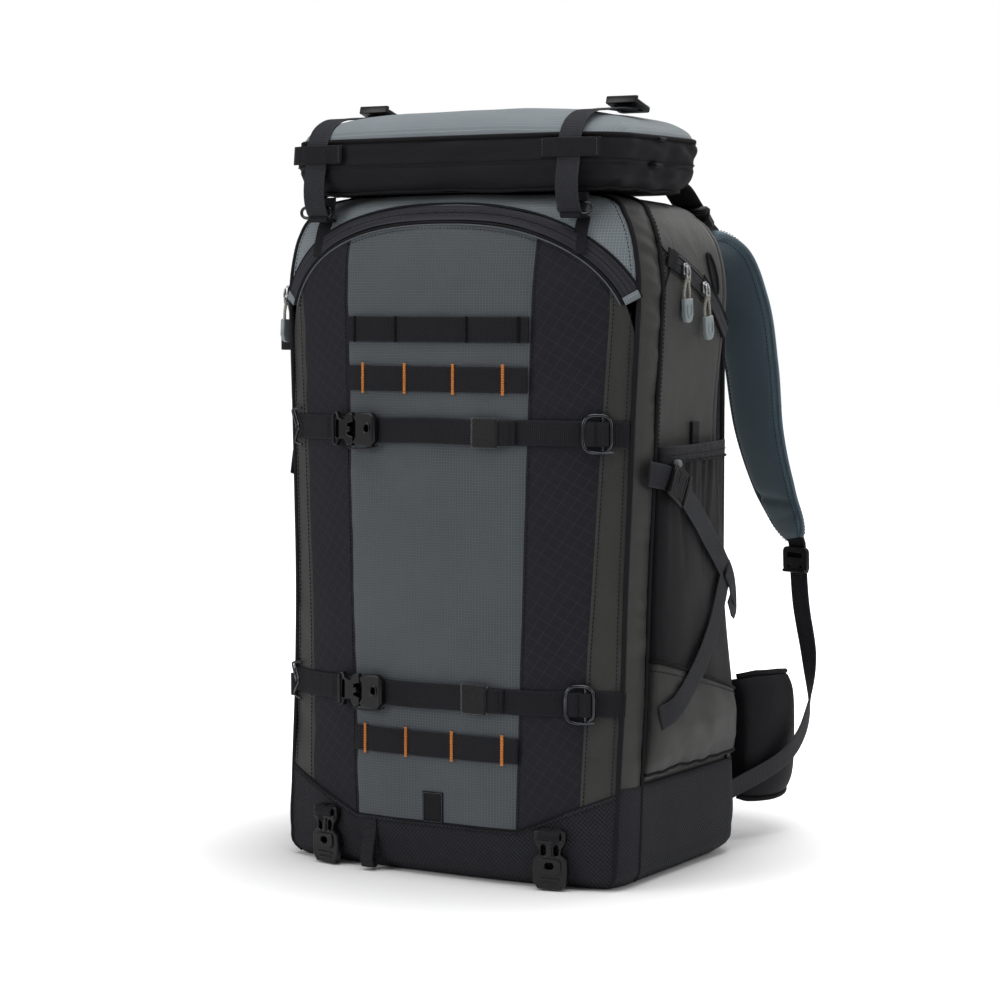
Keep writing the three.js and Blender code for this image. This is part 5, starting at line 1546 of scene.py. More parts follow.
strap_x, strap_off = 0.117, 0.00165
strap_top = [
    (-0.012, lid_foot + 0.93 * lid_height + 0.0018), (-0.034, lid_foot + 0.94 * lid_height + 0.0010),
]
strap_top += [(-0.055, lid_foot + 0.905 * lid_height + 0.0014)]
strap_face = [
    (
        float(lid_front_y(strap_x, up)) - strap_off, lid_foot + up * lid_height,
    ) for up in (0.885, 0.77, 0.62, 0.47)
]
strap_drop = [(-0.1062, 0.5650), (-0.1085, 0.5540), (-0.1090, 0.5430), (-0.1070, 0.5340), (-0.1025, 0.5268)]
strap_back = [(-0.0980, 0.5262), (-0.0940, 0.5310), (-0.0925, 0.5370), (-0.0920, 0.5418)]
strap_points = np.array([(strap_x, y, z) for y, z in strap_top + strap_face + strap_drop + strap_back])
strap_line = smooth_path(strap_points)
strap_mesh = laid_band("strap", strap_line, (-1, 0, 0), flat_section(web_width, web_thick))
keeper_x = np.linspace(0.092, 0.142, 40)
keeper_z = 0.5757
keeper_rise = 0.0020 * np.clip((0.0145 - np.abs(keeper_x - strap_x)) / 0.004, 0, 1)
keeper_up = (keeper_z - lid_foot) / lid_height
keeper_y = lid_front_y(keeper_x, np.full_like(keeper_x, keeper_up)) - 0.0012 - keeper_rise
keeper_y += np.clip((keeper_x - 0.128) / 0.014, 0, 1) ** 2 * 0.0040
keeper_line = np.stack([keeper_x, keeper_y, np.full_like(keeper_x, keeper_z)], 1)
keeper_mesh = sweep_mesh("keeper", keeper_line, (0, -1, 0.06), flat_section(0.015, web_thick))
keeper_threads = []
for x in (0.0945, 0.1395):
    y = np.interp(x, keeper_x, keeper_y) - web_thick / 2 - 0.0001
    line = np.array([(x, y, z) for z in np.linspace(keeper_z - 0.0065, keeper_z + 0.0065, 8)])
    keeper_threads.append(stitch_mesh(line, (0, -1, 0), pitch=0.0021, length=0.0012, thick=0.0005))
ring_centre = np.array((0.120, -0.1012, 0.5296))
ring_points = [ring_centre + (u, 0, v) for u, v in rounded_outline(0.030, 0.0086, 0.0040, 5)]
ring_mesh = wire_mesh(ring_points, 0.0013, loop=True)
anchor_z = np.linspace(0.494, 0.5215, 16)
anchor_line = on_front(np.full(16, strap_x), anchor_z, 0.0011)[0]
anchor_turn = [
    (-0.0975, 0.5248), (-0.1006, 0.5262), (-0.1030, 0.5256), (-0.1036, 0.5240), (-0.1022, 0.5222),
]
anchor_line = np.concatenate([anchor_line, [(strap_x, y, z) for y, z in anchor_turn]])
anchor_mesh = laid_band(
    "anchor", smooth_path(anchor_line, 0.0015), (-1, 0, 0), flat_section(0.018, web_thick),
)
adjuster_seat = Vector((strap_x, -0.010, lid_foot + 0.944 * lid_height + 0.0022))
adjuster_up = Vector((0, 1, -0.28))
adjuster_plates = [
    moulded_mesh(
        [
            rounded_outline(0.028, 0.026, 0.004, 4), rounded_outline(0.019, 0.0045, 0.0012, 3, (0, 0.0055)),
            rounded_outline(0.019, 0.0045, 0.0012, 3, (0, -0.0055)),
        ],
        0.0040, adjuster_seat, (1, 0, 0), adjuster_up,
    ),
    moulded_mesh(
        [rounded_outline(0.028, 0.0032, 0.0014, 3, (0, -0.0115))], 0.0062, adjuster_seat, (1, 0, 0),
        adjuster_up,
    ),
    moulded_mesh(
        [rounded_outline(0.024, 0.0026, 0.0011, 3, (0, 0.0110))], 0.0056, adjuster_seat, (1, 0, 0),
        adjuster_up,
    ),
]
through = [
    (0.0125, 0.0012), (0.0075, 0.0042), (0.0035, 0.0056), (-0.0010, 0.0056), (-0.0055, 0.0030),
    (-0.0080, 0.0002),
]
through_line = local_path([(0, v, w) for v, w in through], adjuster_seat, (1, 0, 0), adjuster_up)
through_mesh = laid_band(
    "strap", smooth_path(through_line, 0.0012), (-1, 0, 0), flat_section(0.0180, web_thick),
)
for side, turn in (("right", lambda mesh: mesh), ("left", mirror_mesh)):
    strap = join_meshes(
        f"lid_strap_{side}_webbing", [turn(m.copy()) for m in (strap_mesh, through_mesh)],
        [charcoal_webbing]
    )
    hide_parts(f"lid_strap_{side}")
    keeper = link_mesh(f"lid_keeper_{side}_webbing", turn(keeper_mesh.copy()), [black_webbing])
    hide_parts(f"lid_keeper_{side}")
    join_meshes(
        f"lid_keeper_{side}_stitches", [turn(m.copy()) for m in keeper_threads], [thread_grey]
    )
    anchor = link_mesh(f"lid_anchor_{side}_webbing", turn(anchor_mesh.copy()), [black_webbing])
    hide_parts(f"lid_anchor_{side}")
    link_mesh(f"lid_ring_{side}", turn(ring_mesh.copy()), [ring_black])
    adjuster = join_meshes(
        f"lid_adjuster_{side}_moulded", [turn(m.copy()) for m in adjuster_plates], [buckle_black],
    )
    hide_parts(f"lid_adjuster_{side}")

# Lid ties: wide black webbing from the lid's rear corners down to the tops of the shoulder straps, through
# a lock.
tie_points = np.array(
    [
        (strap_x - 0.001, lid_back - 0.006, lid_foot + 0.0120),
        (strap_x, lid_back + 0.006, lid_foot + 0.0070),
        (strap_x + 0.002, lid_back + 0.022, lid_foot - 0.0060),
        (strap_x + 0.001, lid_back + 0.044, lid_foot - 0.0200),
        (strap_x - 0.007, lid_back + 0.070, lid_foot - 0.0250),
        (strap_x - 0.020, lid_back + 0.088, lid_foot - 0.0220),
    ]
)
tie_across = np.array((1, 0.25, 0)) / math.hypot(1, 0.25)
tie_mesh = laid_band("tie", smooth_path(tie_points), -tie_across, flat_section(0.025, web_thick))
tie_along = Vector(tie_points[2] - tie_points[3]).normalized()
tie_out = Vector(tie_across).cross(tie_along)
tie_seat = Vector(mix(tie_points[2], tie_points[3], 0.5)) + tie_out * (web_thick / 2 + 0.0003)
tie_lock = [
    moulded_mesh(
        [
            [
                (-0.0165, -0.0100), (-0.0140, -0.0130), (0.0140, -0.0130), (0.0165, -0.0100),
                (0.0150, 0.0020), (0.0165, 0.0090), (0.0140, 0.0130), (-0.0140, 0.0130), (-0.0165, 0.0090),
                (-0.0150, 0.0020),
            ],
            rounded_outline(0.0200, 0.0050, 0.0014, 3, (0, -0.0070)),
            rounded_outline(0.0060, 0.0070, 0.0025, 4, (0, 0.0030)),
        ],
        0.0050, tie_seat, tie_across, tie_along,
    ),
    moulded_mesh(
        [rounded_outline(0.0290, 0.0026, 0.0012, 3, (0, 0.0105))], 0.0066, tie_seat, tie_across, tie_along,
    ),
    moulded_mesh(
        [rounded_outline(0.0220, 0.0022, 0.0010, 3, (0, -0.0030))], 0.0062, tie_seat, tie_across, tie_along,
    ),
]
for side, turn in (("right", lambda mesh: mesh), ("left", mirror_mesh)):
    tie = link_mesh(f"lid_tie_{side}_webbing", turn(tie_mesh.copy()), [black_webbing])
    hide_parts(f"lid_tie_{side}")
    lock = join_meshes(
        f"lid_tie_lock_{side}_moulded", [turn(m.copy()) for m in tie_lock], [buckle_black]
    )
    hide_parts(f"lid_tie_lock_{side}")

# Side pockets: black stretch cloth gathered under an elastic hem, over a lower panel of olive satin. The
# pocket stands off the side and is sewn in at the front seam, the rear corner and the foot.
pocket_top, pocket_foot, pocket_bulge = 0.345, 0.084, 0.018
pocket_join_front, pocket_join_rear = 0.177, 0.137
hem_height = 0.013
# Columns: up as a share between foot and top, and how far out as a share of the bulge.
pocket_rows = np.array([(0, 0.02), (0.06, 0.7), (0.14, 1), (0.26, 1), (0.5, 0.8), (0.78, 0.7), (1, 0.72)])
stretch_cloth = cloth_material(
    "stretch_cloth", shade("#0b0a0d"), shade("#141217"), rough=0.5, thread=0.0007, twill=1.0, bump=0.5,
    sheen=0.04, crease=0.15,
)
elastic_hem = webbing_material(
    "elastic_hem", shade("#19191d"), shade("#2c2c31"), pitch=0.0022, lane=0.0013, edge_half=0.02,
)


def pocket_point(share, z, off=0.0):
    """A place on the pocket: share 0 at the front seam, 1 at the rear corner, stood off from the body."""
    share, z = np.broadcast_arrays(np.asarray(share, float), np.asarray(z, float))
    at = body_lines(z)
    out = pocket_bulge * np.interp(
        (z - pocket_foot) / (pocket_top - pocket_foot), pocket_rows[:, 0], pocket_rows[:, 1],
    )
    out = out * np.sin(math.pi * np.clip(share, 0, 1)) ** 0.28
    x = mix(at["half"] + gusset_flare, at["tail"] - 0.002, share) + 0.0003 + out + off
    return np.stack([x, mix(at["seam"], at["rear"] - back_corner / 2, share), z], -1)


pocket_shares = np.concatenate([[0, 0.01, 0.03], np.linspace(0.06, 0.94, 44), [0.97, 0.99, 1]])
edge_hold = np.sin(math.pi * np.clip(pocket_shares, 0.0, 1.0)) ** 0.5


def pocket_panel(name, heights, off, finishes, slot, move, **options):
    """A stretch of the pocket on both sides, moved in and out by an array or a function of its points."""
    points = pocket_point(pocket_shares[None, :], heights, off)
    points += outward(points) * (move(points) * edge_hold[None, :])[..., None]
    flat = points[..., 1:3].copy()
    flat[..., 0] = run_length(points[len(points) // 2])[None, :]
    return points, pair_of_panels(name, points, flat, finishes, slot, **options)


def lower_creases(points):
    slanted = np.stack([points[..., 0], points[..., 1] + 0.9 * points[..., 2], points[..., 2] * 0.35], -1)
    return rumple(slanted, 0.019, 2.6) * 0.0036 + rumple(points, 0.05, 4.0) * 0.0018


def gathers(points):
    depth = np.clip((points[..., 2] - 0.225) / 0.095, 0, 1) ** 1.6
    pleats = rumple(
        np.stack([points[..., 1] * 1.0, points[..., 1] * 0, points[..., 2] * 0.10], -1), 0.0085, 6.6,
    )
    sag = rumple(points * (1, 1, 0.5), 0.045, 1.9) * 0.0030
    return pleats * 0.0040 * depth + sag - 0.0022 * depth


def hem_ribs(points):
    return rumple(
        np.stack([points[..., 1], points[..., 1] * 0, points[..., 2] * 0.2], -1), 0.0030, 3.7,
    ) * 0.0011


join_heights = np.interp(pocket_shares, (0, 1), (pocket_join_front, pocket_join_rear))[None, :]
lower_heights = mix(pocket_foot, join_heights, np.linspace(0, 1, 26)[:, None])
stretch_heights = mix(join_heights, pocket_top - hem_height, np.linspace(0, 1, 64)[:, None])
hem_heights = np.linspace(pocket_top - hem_height, pocket_top, 10)[:, None]
lower_points, _ = pocket_panel(
    "pocket_foot_cloth", lower_heights, 0.0022, [olive_satin], "olive_cloth", lower_creases, smooth=0,
)
_, stretch_pair = pocket_panel(
    "pocket_stretch", stretch_heights, 0.0016, [stretch_cloth], "stretch_cloth", gathers,
)
hem_points, _ = pocket_panel(
    "pocket_hem", hem_heights, 0.0024, [elastic_hem], "stretch_cloth", hem_ribs, thick=0.0022,
)
for side, piece in zip(("right", "left"), stretch_pair):
    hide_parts(f"side_pocket_{side}")
join_line = lower_points[-1] + (0.0004, 0, 0)
hem_line = hem_points[0] + (0.0006, 0, 0)
pocket_trim = [
    sweep_mesh("piping", join_line, (1, 0, 0), round_section(0.0013, 6)),
    sweep_mesh("piping", hem_line, (1, 0, 0), round_section(0.0010, 6)),
    sweep_mesh("piping", lower_points[1] + (0.0004, 0, 0), (1, 0, 0), round_section(0.0013, 6)),
    stitch_mesh(lower_points[-3] + (0.0004, 0, 0), (1, 0, 0)),
    stitch_mesh(hem_points[4] + (0.0004, 0, 0), (1, 0, 0), thick=0.0006),
]
join_meshes(
    "pocket_seams", pocket_trim + [mirror_mesh(m) for m in pocket_trim], [thread_black]
)

# A tab of webbing stands above the hem, folded double and sewn down at its foot.
tab_head, tab_foot = 0.361, 0.344
tab_share = 0.62
tab_rise = np.linspace(tab_foot, tab_head, 10)
tab_line = np.concatenate(
    [side_point(tab_share, tab_rise, 0.0018), side_point(tab_share, tab_rise[::-1], 0.0036)]
)
tab = laid_band("tab", smooth_path(tab_line, 0.0012), (0, -1, 0), flat_section(0.012, 0.0013))
join_meshes("pocket_tabs", [tab, mirror_mesh(tab)], [narrow_webbing])

# Side straps: charcoal webbing from the gusset seam across the pocket to the rear corner, turned there, and
# back down to the front seam. A ladder lock near the front holds it, with ribbed webbing laid over its
# middle bar.
side_strap_legs = [
    (-0.14, 0.325), (0.08, 0.318), (0.35, 0.2934), (0.60, 0.2672), (0.82, 0.2458), (0.90, 0.236),
    (0.82, 0.2235), (0.60, 0.1923), (0.35, 0.1632), (0.12, 0.1382), (0.02, 0.132),
]
leg_points = np.array([pocket_point(share, z, 0.0042) for share, z in side_strap_legs])
side_line = smooth_path(leg_points)
side_out = np.tile((1.0, 0.0, 0.0), (len(side_line), 1))
side_strap = sweep_mesh("strap", side_line, side_out, flat_section(web_width, web_thick))
tail_points = [
    pocket_point(0.90, 0.240, 0.0060), pocket_point(0.965, 0.228, 0.0085),
    pocket_point(0.985, 0.214, 0.0100),
]
tail_points += [pocket_point(0.96, 0.206, 0.0090), pocket_point(0.92, 0.216, 0.0072)]
side_tail = sweep_mesh(
    "tail", smooth_path(tail_points, 0.0015), (1.0, 0.25, 0.0), flat_section(web_width - 0.001, web_thick),
)
lock_seat = Vector(pocket_point(0.10, 0.3147, 0.0050))
lock_right = Vector(pocket_point(0.20, 0.3055, 0.0050) - pocket_point(0.02, 0.3215, 0.0050)).normalized()
lock_up = Vector((1, 0, 0)).cross(lock_right)
side_lock = [
    moulded_mesh(
        [
            [
                (-0.0130, -0.0110), (-0.0105, -0.0142), (0.0105, -0.0142), (0.0132, -0.0115), (0.0118, 0.0),
                (0.0132, 0.0115), (0.0105, 0.0142), (-0.0105, 0.0142), (-0.0130, 0.0110), (-0.0118, 0.0),
            ],
            rounded_outline(0.0046, 0.0200, 0.0014, 3, (-0.0052, 0)),
            rounded_outline(0.0046, 0.0200, 0.0014, 3, (0.0052, 0)),
        ],
        0.0042, lock_seat, lock_right, lock_up, 0.0010,
    ),
    moulded_mesh(
        [rounded_outline(0.0026, 0.0270, 0.0012, 3, (0.0112, 0))], 0.0058, lock_seat, lock_right, lock_up,
    ),
    moulded_mesh(
        [rounded_outline(0.0026, 0.0250, 0.0012, 3, (-0.0112, 0))], 0.0054, lock_seat, lock_right, lock_up,
    ),
]
bar_wraps = []
for u in (-0.0052, 0.0052):
    arch = [
        (u - 0.0040, 0, -0.0012), (u - 0.0022, 0, 0.0024), (u, 0, 0.0034), (u + 0.0022, 0, 0.0024),
        (u + 0.0040, 0, -0.0012),
    ]
    bar_wraps.append(
        laid_band(
            "wrap", smooth_path(local_path(arch, lock_seat, lock_right, lock_up), 0.0008), -lock_up,
            flat_section(0.0190, 0.0014),
        )
    )
nub_seat = lock_seat - lock_right * 0.0105 + lock_up * 0.0135
side_nub = moulded_mesh(
    [rounded_outline(0.0062, 0.0062, 0.0030, 6)], 0.0062, nub_seat, lock_right, lock_up, 0.0020,
)
nub_grey = fitting_material("nub_grey", 0.5, "#55585a", "#6d7072", {"Scale": 120.0})
for side, turn in (("right", lambda mesh: mesh), ("left", mirror_mesh)):
    strap = join_meshes(
        f"side_strap_{side}_webbing", [turn(m.copy()) for m in (side_strap, side_tail)], [charcoal_webbing],
    )
    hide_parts(f"side_strap_{side}")
    join_meshes(
        f"side_lock_{side}_webbing", [turn(m.copy()) for m in bar_wraps], [charcoal_webbing]
    )
    lock = join_meshes(
        f"side_lock_{side}_moulded", [turn(m.copy()) for m in side_lock], [buckle_black]
    )
    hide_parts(f"side_lock_{side}")
    link_mesh(f"side_nub_{side}", turn(side_nub.copy()), [nub_grey])

# Side zips: a slanting coated zip high on each side, its front end under a black garage, with two sliders
# of bright metal. Seams with stitches run above it and from its front end up to the gusset, and a soft port
# lies behind it.
side_zip_line = [(-0.0260, 0.4905), (0.0081, 0.4785), (0.0328, 0.4687), (0.0600, 0.4560), (0.0920, 0.4330)]


def side_share(y, z):
    """The share of the side at which a place that far back lies."""
    at = body_lines(z)
    corner = np.minimum(back_corner, (at["rear"] - at["seam"]) / 3)
    return (y - at["seam"]) / (at["rear"] - corner - at["seam"])


def on_side(y, z, off=0.0):
    return side_point(side_share(y, z), z, off)


def side_path(points, off, step=0.002):
    line = smooth_path([(0, y, z) for y, z in points], step)
    return np.array([on_side(y, z, off) for _, y, z in line])


side_tape = ribbed_tape("side_tape", shade("#242428"), 0.0005, 0.0026, 0.0015)
zip_path = side_path(side_zip_line, 0.0022)
zip_mesh = sweep_mesh("tape", zip_path, (1, 0, 0), flat_section(0.0118, 0.0014, 9))
zip_edges = []
for shift in (-0.0062, 0.0062):
    ahead = np.gradient(zip_path, axis=0)
    aside = np.cross((1, 0, 0), ahead / np.linalg.norm(ahead, axis=1, keepdims=True))
    zip_edges.append(sweep_mesh("edge", zip_path + aside * shift, (1, 0, 0), round_section(0.0011, 6)))
    zip_edges.append(stitch_mesh(zip_path + aside * shift * 1.45 - (0.0002, 0, 0), (1, 0, 0)))
seam_lines = [
    [(-0.0466, 0.5055), (-0.0330, 0.4960), (-0.0160, 0.4905)],
    [(-0.0480, 0.4600), (-0.0400, 0.4720), (-0.0280, 0.4850)],
    [(0.0400, 0.4790), (0.0620, 0.4650), (0.0940, 0.4440)],
]
for points in seam_lines:
    line = side_path(points, 0.0016)
    zip_edges.append(sweep_mesh("seam", line, (1, 0, 0), round_section(0.0008, 6)))
    zip_edges.append(stitch_mesh(line + (0.0002, -0.0022, -0.0022), (1, 0, 0)))
garage_line = side_path([(-0.0340, 0.4930), (-0.0260, 0.4910), (-0.0180, 0.4880)], 0.0032)
zip_garage = sweep_mesh("garage", garage_line, (1, 0, 0), flat_section(0.0150, 0.0012))

slider_worn = {"Scale": 150.0}
slider_metal = fitting_material("slider_metal", 0.28, "#8f9294", "#c9cbcc", slider_worn, Metallic=1.0)
pull_cord = cloth_material(
    "pull_cord", shade("#8b8982"), shade("#aaa79f"), rough=0.8, thread=0.0011, bump=0.8, flat_map=False,
)
rubber_worn = {"Scale": 70.0}
rubber_clear = {"Transmission_Weight": 0.25, "IOR": 1.45}
pull_rubber = fitting_material("pull_rubber", 0.38, "#8a9498", "#a5aeb1", rubber_worn, **rubber_clear)


def zip_pull(y, z, off, lean=0.0):
    """A slider with its bail, a looped cord and the moulded tab on its end, as three meshes."""
    turn = math.radians(lean)
    hang = Vector((0, math.sin(turn), -math.cos(turn)))
    seat = Vector(on_side(y, z, off))
    up = -hang
    across = up.cross(Vector((1, 0, 0)))
    slider = [
        moulded_mesh([rounded_outline(0.0070, 0.0105, 0.0028, 4)], 0.0026, seat, across, up, 0.0008),
        moulded_mesh([rounded_outline(0.0030, 0.0072, 0.0014, 4)], 0.0044, seat, across, up, 0.0008),
    ]
    bail = [
        (-0.0018, 0.0030, 0.0034), (-0.0030, -0.0010, 0.0042), (-0.0026, -0.0058, 0.0040),
        (0, -0.0074, 0.0036),
    ]
    bail += [(-u, v, w) for u, v, w in reversed(bail[:-1])]
    slider.append(wire_mesh(local_path(bail, seat, across, up), 0.0009, loop=True, step=0.0010))
    loop = [
        (0.0, -0.0052, 0.0050), (0.0026, -0.0072, 0.0040), (0.0020, -0.0098, 0.0030),
        (0.0044, -0.0170, 0.0024), (0.0042, -0.0290, 0.0022),
    ]
    loop += [(-u, v, w * 0.9) for u, v, w in reversed(loop[1:])]
    cord = [wire_mesh(local_path(loop, seat, across, up), 0.00125, loop=True, step=0.0012)]
    knot = [
        (0.0030, -0.0092, 0.0030), (0.0, -0.0088, 0.0050), (-0.0030, -0.0092, 0.0030),
        (0.0, -0.0100, 0.0016),
    ]
    cord.append(wire_mesh(local_path(knot, seat, across, up), 0.0012, loop=True, step=0.0008))
    tab_seat = seat - up * 0.0320 + Vector((0.0006, 0, 0))
    shape = [
        (-0.0068, 0.0085), (-0.0060, 0.0092), (0.0060, 0.0092), (0.0068, 0.0085), (0.0070, -0.0040),
        (0.0045, -0.0088),
    ]
    shape += [(0.0016, -0.0098), (-0.0016, -0.0098), (-0.0045, -0.0088), (-0.0070, -0.0040)]
    ridge = [
        (-0.0036, 0.0040, 0.0044), (-0.0036, -0.0020, 0.0044), (-0.0022, -0.0050, 0.0044),
        (0, -0.0058, 0.0044),
    ]
    ridge += [(-u, v, w) for u, v, w in reversed(ridge[:-1])]
    tab = [
        moulded_mesh([shape], 0.0040, tab_seat, across, up, 0.0010),
        wire_mesh(local_path(ridge, tab_seat, across, up), 0.0009, step=0.0008),
    ]
    return slider, cord, tab


side_pulls = {"front": (-0.0060, 0.4830, 0.0034, 3.0), "rear": (0.0328, 0.4687, 0.0034, 8.0)}
for side, turn in (("right", lambda mesh: mesh), ("left", mirror_mesh)):
    tape = link_mesh(f"side_zip_{side}_tape", turn(zip_mesh.copy()), [side_tape])
    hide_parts(f"side_zip_{side}")
    join_meshes(
        f"side_zip_{side}_edges", [turn(m.copy()) for m in zip_edges], [thread_black]
    )
    link_mesh(f"side_zip_{side}_garage", turn(zip_garage.copy()), [black_weave])
    for place, (y, z, off, lean) in side_pulls.items():
        slider, cord, tab = zip_pull(y, z, off, lean)
        join_meshes(f"slider_{place}_{side}", [turn(m) for m in slider], [slider_metal])
        join_meshes(f"pull_{place}_{side}_cord", [turn(m) for m in cord], [pull_cord])
        moulded = join_meshes(
            f"pull_{place}_{side}_tab", [turn(m) for m in tab], [pull_rubber]
        )
        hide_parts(f"pull_{place}_{side}")

slider, cord, tab = zip_pull(-0.066, 0.4660, 0.0030, -3.0)
join_meshes("arch_slider", [mirror_mesh(m) for m in slider], [slider_metal])
join_meshes("pull_arch_cord", [mirror_mesh(m) for m in cord], [pull_cord])
arch_tab = join_meshes("pull_arch_tab", [mirror_mesh(m) for m in tab], [pull_rubber])
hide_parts("pull_arch")

# Ports: an oval hole of each side panel near its rear edge, bound with dark cord, for a drinking tube.
port_turn = np.linspace(0, 2 * math.pi, 36, endpoint=False)
port_y = 0.0600 + 0.0068 * np.cos(port_turn) - 0.006 * np.sin(port_turn)
port_z = 0.4800 + 0.0165 * np.sin(port_turn)
port_ring = on_side(port_y, port_z, 0.0018)
port_mesh = sweep_mesh("port", port_ring, (1, 0, 0), round_section(0.0013, 6), loop=True)
join_meshes("tube_port_rims", [port_mesh, mirror_mesh(port_mesh)], [thread_black])
port_shares = np.array((1.0, 0.6, 0.2, 0.02))
port_fill = np.stack([mix(port_ring.mean(0), port_ring, s) for s in port_shares])[:, ::-1]
pair_of_panels(
    "tube_port", port_fill, port_fill[..., 1:3].copy(), [black_weave], "black_cloth", thick=0.0, loop=True,
)

# Left side, near the gusset: two doubled stubs of webbing stand out from the side, sewn down at their foot.
stub_y, stub_heights = -0.060, (0.427, 0.136)
stub_meshes = []
for z in stub_heights:
    at = body_lines(np.array(z))
    seat = np.array((-at["half"] - gusset_flare * 0.5, stub_y, z))
    route = [
        (0.003, 0.0), (-0.010, 0.001), (-0.021, 0.002), (-0.0235, 0.0035), (-0.021, 0.005), (-0.004, 0.005),
    ]
    line = smooth_path([seat + (x, y, 0) for x, y in route], 0.001)
    stub_meshes.append(laid_band("stub", line, (0, 0, -1), flat_section(web_width - 0.001, web_thick)))
join_meshes("strap_stubs", stub_meshes, [black_webbing])

# Back panel: a flat stiff door of black cloth with rounded corners and a bound edge. On it lie two long
# pads and a lumbar pad of open spacer mesh over foam, swollen by cloth simulation.
harness_face = back_reach + 0.0003 + 0.012
panel_half, panel_foot, panel_head, panel_corner = 0.136, 0.034, 0.494, 0.034


def rounded_ring(width, height, radius, count, centre):
    """An even ring of points round a rounded rectangle."""
    ring = np.array(rounded_outline(width, height, radius, 10, centre))
    ring = np.concatenate([ring, ring[:1]])
    return even_path(ring, np.linalg.norm(np.diff(ring, axis=0), axis=1).sum() / count)[:count]


door_ring = rounded_ring(
    2 * panel_half, panel_head - panel_foot, panel_corner, 150, (0, (panel_head + panel_foot) / 2),
)
door_centre = np.array((0, (panel_head + panel_foot) / 2))
door_layers = [
    (1.0, -0.0115), (1.0, -0.0060), (0.998, -0.0012), (0.99, 0.0), (0.90, 0.0), (0.70, 0.0), (0.45, 0.0),
    (0.2, 0.0), (0.02, 0.0),
]
door_points = np.array(
    [
        [(x, harness_face + rise, z) for x, z in door_centre + (door_ring - door_centre) * share] for share,
        rise in door_layers
    ]
)[:, ::-1]
door_points[3:, :, 1] += rumple(door_points[3:], 0.05, 2.2) * 0.0007
door_cloth = panel(
    "back_panel_cloth", door_points, door_points[..., [0, 2]].copy(), [charcoal_cloth], "black_cloth",
    smooth=0, loop=True,
)
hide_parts("back_panel")
door_edge = np.array([(x, harness_face - 0.001, z) for x, z in door_ring])
door_in = door_centre + (door_ring - door_centre) * 0.965
door_seam = np.array([(x, harness_face + 0.0006, z) for x, z in door_in])
door_trim = [
    sweep_mesh("binding", door_edge, (0, 1, 0), round_section(0.0026), loop=True),
    stitch_mesh(np.concatenate([door_seam, door_seam[:1]]), (0, 1, 0)),
]
join_meshes("back_panel_trim", door_trim, [thread_black])

air_mesh = cloth_material(
    "air_mesh", shade("#17181a"), shade("#26282b"), rough=0.85, thread=0.0010, bump=1.0,
    grid=(0.0040, 0.0040, 0.22, math.radians(45)), grid_pale=shade("#34363a"), flat_map=False, sheen=0.04,
)


def pad_mesh(name, ring, layers, middle=None):
    """A closed pad on the back: one outline shrunk to shares of itself, at places out from it."""
    centre = ring.mean(0) if middle is None else np.array(middle)
    corners = [(x, y, z) for share, y in layers for x, z in centre + (ring - centre) * share]
    count = len(ring)
    faces = []
    for k in range(len(layers) - 1):
        for i in range(count):
            j = (i + 1) % count
            faces.append((k * count + i, k * count + j, (k + 1) * count + j, (k + 1) * count + i))
    faces.append(tuple(range(count - 1, -1, -1)))
    faces.append(tuple((len(layers) - 1) * count + i for i in range(count)))
    mesh = bpy.data.meshes.new(name)
    mesh.from_pydata(corners, [], faces)
    bm = bmesh.new()
    bm.from_mesh(mesh)
    bmesh.ops.recalc_face_normals(bm, faces=bm.faces)
    bm.to_mesh(mesh)
    bm.free()
    return mesh


def swollen(mesh, voxel=0.005, pressure=4.0, cap=0.006, frames_run=20):
    """The mesh blown up a little as sewn cloth over foam, each point moved no further than the cap."""
    holder = bpy.data.objects.new("swelling", mesh)
    scene.collection.objects.link(holder)
    even = holder.modifiers.new("even", "REMESH")
    even.mode = "VOXEL"
    even.voxel_size = voxel
    smoothing = holder.modifiers.new("smoothing", "SMOOTH")
    smoothing.factor = 0.5
    smoothing.iterations = 6
    found = bpy.data.meshes.new_from_object(holder.evaluated_get(bpy.context.evaluated_depsgraph_get()))
    holder.modifiers.clear()
    holder.data = found
    start = np.array([v.co for v in found.vertices])
    cloth = holder.modifiers.new("cloth", "CLOTH")
    cloth.settings.use_pressure = True
    cloth.settings.uniform_pressure_force = pressure
    cloth.settings.effector_weights.gravity = 0
    cloth.settings.quality = 5
    cloth.point_cache.frame_start = 1
    cloth.point_cache.frame_end = frames_run
    for number in range(1, frames_run + 1):
        scene.frame_set(number)
    moved_mesh = bpy.data.meshes.new_from_object(
        holder.evaluated_get(bpy.context.evaluated_depsgraph_get())
    )
    holder.modifiers.clear()
    scene.frame_set(1)
    move = np.array([v.co for v in moved_mesh.vertices]) - start
    far = np.linalg.norm(move, axis=1, keepdims=True)
    move *= np.minimum(1, cap / np.maximum(far, 1e-9))
    found.vertices.foreach_set("co", (start + move).ravel())
    bpy.data.meshes.remove(moved_mesh)
    bpy.data.objects.remove(holder)
    found.shade_smooth()
    return found


def flattened(mesh, behind, ahead):
    """The mesh with no point behind the surface that it lies on nor past the space it has."""
    points = np.array([v.co for v in mesh.vertices])
    points[:, 1] = np.clip(points[:, 1], behind, ahead)
    mesh.vertices.foreach_set("co", points.ravel())
    mesh.update()
    return mesh


